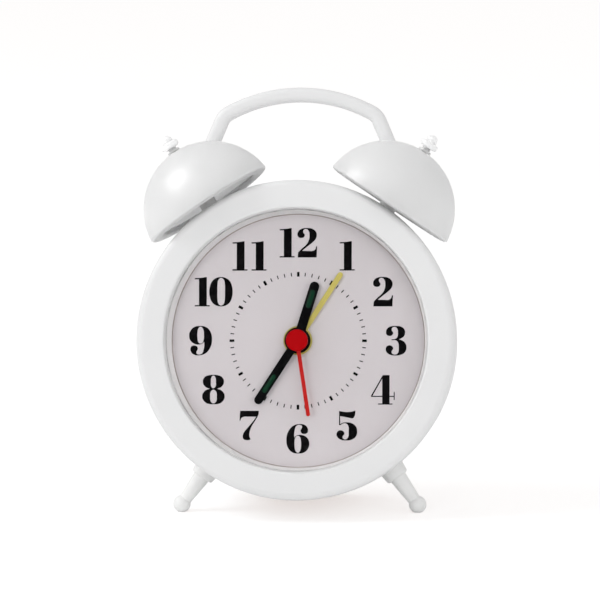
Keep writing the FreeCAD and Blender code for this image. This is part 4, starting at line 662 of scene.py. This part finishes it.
def lume_insert(name, body, turn_degrees, face, inner, outer, half_width):
    """A raised pill along the hand: across it the height is a low ellipse over a flat
    underside, along it the half width closes in a half circle at each end."""
    rows, columns, crown, bed = 48, 24, 0.14, 0.02
    along = np.linspace(0.03, 0.97, rows)
    reach = outer - inner
    distance = inner + reach * (1 - np.cos(np.pi * along)) / 2
    to_end = np.minimum(distance - inner, outer - distance)
    closing = np.sqrt(np.clip(1 - np.clip(1 - to_end / half_width, 0, 1) ** 2, 0, 1))
    around = np.linspace(2 * np.pi, 0, columns, endpoint=False)
    x = half_width * closing[:, None] * np.cos(around)[None, :]
    y = np.repeat(distance[:, None], columns, axis=1)
    rise = np.where(np.sin(around) > 0, crown * np.sin(around), bed * np.sin(around))
    z = face + closing[:, None] * rise[None, :]
    turn = math.radians(-turn_degrees)
    points = np.stack([x * math.cos(turn) - y * math.sin(turn),
                       x * math.sin(turn) + y * math.cos(turn), z], axis=-1)
    return new_piece(
        name, stand(points.reshape(-1, 3)), tube_faces(rows, columns), lume, body)


HOUR_FACE = 33.4
MINUTE_FACE = 34.4
lume_insert("hour_lume", "hour", 17.3, HOUR_FACE, 9.6, 15.0, 0.72)
lume_insert("minute_lume", "minute", 213.0, MINUTE_FACE, 11.6, 17.6, 0.62)


# ---------------------------------------------------------------------------
# Movement mouldings: plate, bridge, housing and every wheel and pinion of the train
# are natural acetal, and stand on pegs and in bearings of the movement plate.

raw_acetal = moulding("natural acetal", (0.72, 0.72, 0.68), (0.66, 0.66, 0.62),
                      0.4, 0.5, 0.00002, grain=0.5)
dress(raw_acetal, *[n for n in nodes if n.endswith(("_wheel", "_pinion"))],
      "movement_plate", "train_bridge", "movement_housing")


# ---------------------------------------------------------------------------
# Metal parts: zinc-plated screws and push nuts, nickelled contact strips, stator and
# crystal can, and the coil's enamelled copper, all held in the movement or case.

def metal(name, colour, shade, roughness, stretch, bump=0.000008):
    """Worked metal: colour and gloss follow a noise drawn out along one direction."""
    material, tree, output = new_material(name)
    place = wire(tree, "TexCoord")
    lay = wire(tree, "Mapping", Vector=place.outputs["Object"], Scale=stretch)
    lines = wire(tree, "TexNoise", Vector=lay.outputs[0], Scale=1.0, Detail=4.0)
    body = wire(tree, "Mix", {"data_type": "RGBA"}, Factor=lines.outputs["Fac"])
    body.inputs[6].default_value = (*shade, 1)
    body.inputs[7].default_value = (*colour, 1)
    rough = wire(tree, "MapRange", Value=lines.outputs["Fac"],
                 To_Min=roughness - 0.08, To_Max=roughness + 0.1)
    bumped = wire(tree, "Bump", Strength=0.4, Distance=bump,
                  Height=lines.outputs["Fac"])
    surface = wire(tree, "BsdfPrincipled", Base_Color=body.outputs[2],
                   Roughness=rough.outputs[0], Normal=bumped.outputs[0])
    surface.inputs["Metallic"].default_value = 1.0
    tree.links.new(surface.outputs[0], output.inputs["Surface"])
    return material


zinc = metal("zinc plate", (0.62, 0.63, 0.64), (0.48, 0.49, 0.51), 0.34,
             (900, 900, 900))
dress(zinc, "cover_screws", "wall_screws", "movement_screws", "push_nut_left",
      "push_nut_right")
strip_steel = metal("nickelled strip", (0.66, 0.65, 0.62), (0.55, 0.54, 0.51), 0.28,
                    (300, 4000, 300))
dress(strip_steel, "battery_contact_minus", "battery_contact_plus", "stator",
      "quartz_crystal")
copper_wire = metal("enamelled wire", (0.72, 0.28, 0.10), (0.45, 0.14, 0.05), 0.3,
                    (5000, 200, 200), bump=0.00004)
dress(copper_wire, "coil")


# ---------------------------------------------------------------------------
# Rotor, circuit board, buzzer and cell: a pressed ferrite magnet, a green laminate
# board, a black moulded sounder behind the cover's slots, and a plain sleeved cell.

ferrite = moulding("pressed ferrite", (0.05, 0.05, 0.052), (0.03, 0.03, 0.03),
                   0.5, 0.6, 0.00002, grain=0.9)
dress(ferrite, "rotor")
laminate = moulding("green laminate", (0.02, 0.17, 0.06), (0.012, 0.12, 0.04),
                    0.3, 0.4, 0.00001, grain=0.5)
dress(laminate, "circuit_board")
black_plastic = moulding("black moulding", (0.020, 0.020, 0.021), (0.014, 0.014, 0.015),
                         0.4, 0.5, 0.00002, grain=0.6)
dress(black_plastic, "buzzer")
cell_sleeve = metal("plain cell sleeve", (0.30, 0.31, 0.34), (0.24, 0.25, 0.27), 0.35,
                    (60, 1500, 60))
dress(cell_sleeve, "battery")


# ---------------------------------------------------------------------------
# Marks of the back: low raised lines moulded with the cover, an arc arrow and a
# symbol beside each setting knob, the alarm's off and on beside its switch, and on
# the battery door a row of grip ribs over an arrow.

COVER_FACE = 0.4
MARK_RISE = 0.3
# Half widths of the lines of a symbol's ring and of its hands.
RING_LINE = 0.24
HAND_LINE = 0.2
# Across as a share of the half width, and up as a share of the rise.
MARK_SECTION = np.array([
    (-1, -0.3), (-1, 0.6), (-0.7, 1), (0.7, 1), (1, 0.6), (1, -0.3)])


def raised_line(path, half_widths, closed=False):
    """A low bar with bevelled shoulders along a flat path on the cover's outer face:
    at each point its section lies across the path, as wide as given there."""
    path = np.asarray(path, float)
    if closed:
        heading = np.roll(path, -1, axis=0) - np.roll(path, 1, axis=0)
    else:
        heading = np.gradient(path, axis=0)
    heading /= np.linalg.norm(heading, axis=1)[:, None]
    across = np.column_stack([-heading[:, 1], heading[:, 0]])
    half = np.broadcast_to(half_widths, len(path))[:, None]
    shares = (half * MARK_SECTION[:, 0])[:, :, None]
    flat = path[:, None, :] + across[:, None, :] * shares
    depth = np.broadcast_to(
        COVER_FACE - MARK_RISE * MARK_SECTION[:, 1], shares.shape[:2])
    points = np.concatenate([flat, depth[:, :, None]], axis=2).reshape(-1, 3)
    joined = hoop_faces if closed else tube_faces
    return points, joined(len(path), len(MARK_SECTION))


def arc(centre, radius, start, end, count):
    """Points of a circle's arc, from one angle to another in degrees."""
    turn = np.radians(np.linspace(start, end, count))
    return np.column_stack([centre[0] + radius * np.cos(turn),
                            centre[1] + radius * np.sin(turn)])


ARROW_RADIUS = 7.3
ARROW_POINTS = 61
HEAD_POINTS = 11


def arc_arrow(centre, start, end):
    """A thin arc round a knob that widens to a head and closes in its point."""
    path = arc(centre, ARROW_RADIUS, start, end, ARROW_POINTS)
    half = np.full(ARROW_POINTS, 0.36)
    half[-HEAD_POINTS:] = np.linspace(1.4, 0.05, HEAD_POINTS)
    return raised_line(path, half)


def bell_symbol(x, y, size):
    """A bell seen from the front: a bar up the middle as wide as the bell is there."""
    outline = np.array([(-1.15, 0.30), (-0.90, 0.34), (-0.88, 1.05), (-0.70, 1.05),
                        (-0.55, 0.80), (0.25, 0.68), (0.70, 0.48), (0.95, 0.16)])
    path = np.column_stack([np.full(len(outline), x), y + size * outline[:, 0]])
    return raised_line(path, size * outline[:, 1])


def join(parts):
    """Several (points, faces) as one."""
    points, faces, count = [], [], 0
    for some_points, some_faces in parts:
        points.append(some_points)
        faces += [tuple(v + count for v in face) for face in some_faces]
        count += len(some_points)
    return stand(np.concatenate(points)), faces


TIME_KNOB = (9.0, 0.0)
ALARM_KNOB = (-3.45, 9.49)
CLOCK_SYMBOL = (20.8, 0.0)
CLOCK_MINUTE = [(20.8, 1.25), (20.8, 0.6), (20.8, -0.1)]
CLOCK_HOUR = [(20.7, 0.1), (21.2, -0.25), (21.7, -0.6)]
ALARM_SYMBOL = (-14.6, 11.6)
SWITCH_OFF = (-4.3, 28.5)
SWITCH_ON = (8.4, 28.5)
case_marks = new_piece("case_marks", *join([
    arc_arrow(TIME_KNOB, -62, 58),
    arc_arrow(ALARM_KNOB, 232, 112),
    raised_line(arc(CLOCK_SYMBOL, 1.9, 0, 352.5, 48), RING_LINE, closed=True),
    raised_line(CLOCK_MINUTE, HAND_LINE),
    raised_line(CLOCK_HOUR, HAND_LINE),
    bell_symbol(*ALARM_SYMBOL, 2.0),
    raised_line(arc(SWITCH_OFF, 1.0, 0, 345, 24), RING_LINE, closed=True),
    bell_symbol(*SWITCH_ON, 1.5),
]), satin_white, "case", smooth=False)

GRIP_RIBS = (-24.8, -23.6, -22.4, -21.2)
DOOR_ARROW = [(0, -18.9), (0, -15.7), (0, -15.6), (0, -12.9)]
door_marks = new_piece("door_marks", *join([
    *[raised_line([(5.5, y), (5.2, y), (-5.2, y), (-5.5, y)], (0.1, 0.3, 0.3, 0.1))
      for y in GRIP_RIBS],
    raised_line(DOOR_ARROW, (0.5, 0.5, 1.9, 0.05)),
]), satin_white, "door", smooth=False)


# ---------------------------------------------------------------------------
# Cover screws: three zinc-plated pan-head screws with a cross recess, whose heads
# stand on the cover and whose shanks run into the case's bosses.

SCREW_DISTANCE = 38.4
CROWN_RADIUS = 1.85
HEAD_ROLL = 0.45
HEAD_RADIUS = 2.3
SHANK_RADIUS = 1.1
SCREW_END = 8.4
RECESS_REACH = 1.35
RECESS_HALF_WIDTH = 0.34
RECESS_DRAFT = 0.08
CROWN_ROWS = 40
SCREW_COLUMNS = 96


def screw():
    """A screw about z in rings from the middle of its head to its tip.  The top is a
    low dome, less a pit where |x| or |y| is small that gets shallower outwards."""
    crown = np.linspace(0.02, CROWN_RADIUS, CROWN_ROWS)
    roll = np.radians(np.linspace(0, 90, 7)[1:])
    reach = np.concatenate([
        crown, CROWN_RADIUS + HEAD_ROLL * np.sin(roll),
        (HEAD_RADIUS, SHANK_RADIUS, SHANK_RADIUS, 0.7 * SHANK_RADIUS),
    ])
    level = np.concatenate([
        -0.9 + 0.05 * crown ** 2, -0.25 - 0.48 * np.cos(roll),
        (0.4, 0.4, SCREW_END - 0.5, SCREW_END),
    ])
    turn = np.linspace(0, 2 * np.pi, SCREW_COLUMNS, endpoint=False)
    x = reach[:, None] * np.cos(turn)
    y = reach[:, None] * np.sin(turn)
    z = np.repeat(level[:, None], SCREW_COLUMNS, axis=1)

    def arm(along, beside):
        """1 within one arm of the cross and 0 outside, with drafted walls."""
        return (np.clip((RECESS_HALF_WIDTH - np.abs(beside)) / RECESS_DRAFT, 0, 1)
                * np.clip((RECESS_REACH - np.abs(along)) / RECESS_DRAFT, 0, 1))

    depth = 0.75 - 0.35 * reach[:, None] / RECESS_REACH
    pit = np.maximum(arm(x, y), arm(y, x)) * depth
    z[:CROWN_ROWS] += pit[:CROWN_ROWS]
    points = np.stack([x, y, z], axis=-1).reshape(-1, 3)
    return points, tube_faces(len(reach), SCREW_COLUMNS)


screw_points, screw_faces = screw()
parts = []
for index in range(3):
    at = math.radians(90 + 120 * index)
    middle = (SCREW_DISTANCE * math.cos(at), SCREW_DISTANCE * math.sin(at), 0)
    spin = 0.4 + 1.1 * index
    turned = screw_points @ np.array([(math.cos(spin), math.sin(spin), 0),
                                      (-math.sin(spin), math.cos(spin), 0), (0, 0, 1)])
    parts.append((turned + middle, screw_faces))
crossed_screws = new_piece("crossed_screws", *join(parts), zinc, "case")
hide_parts("cover_screws")
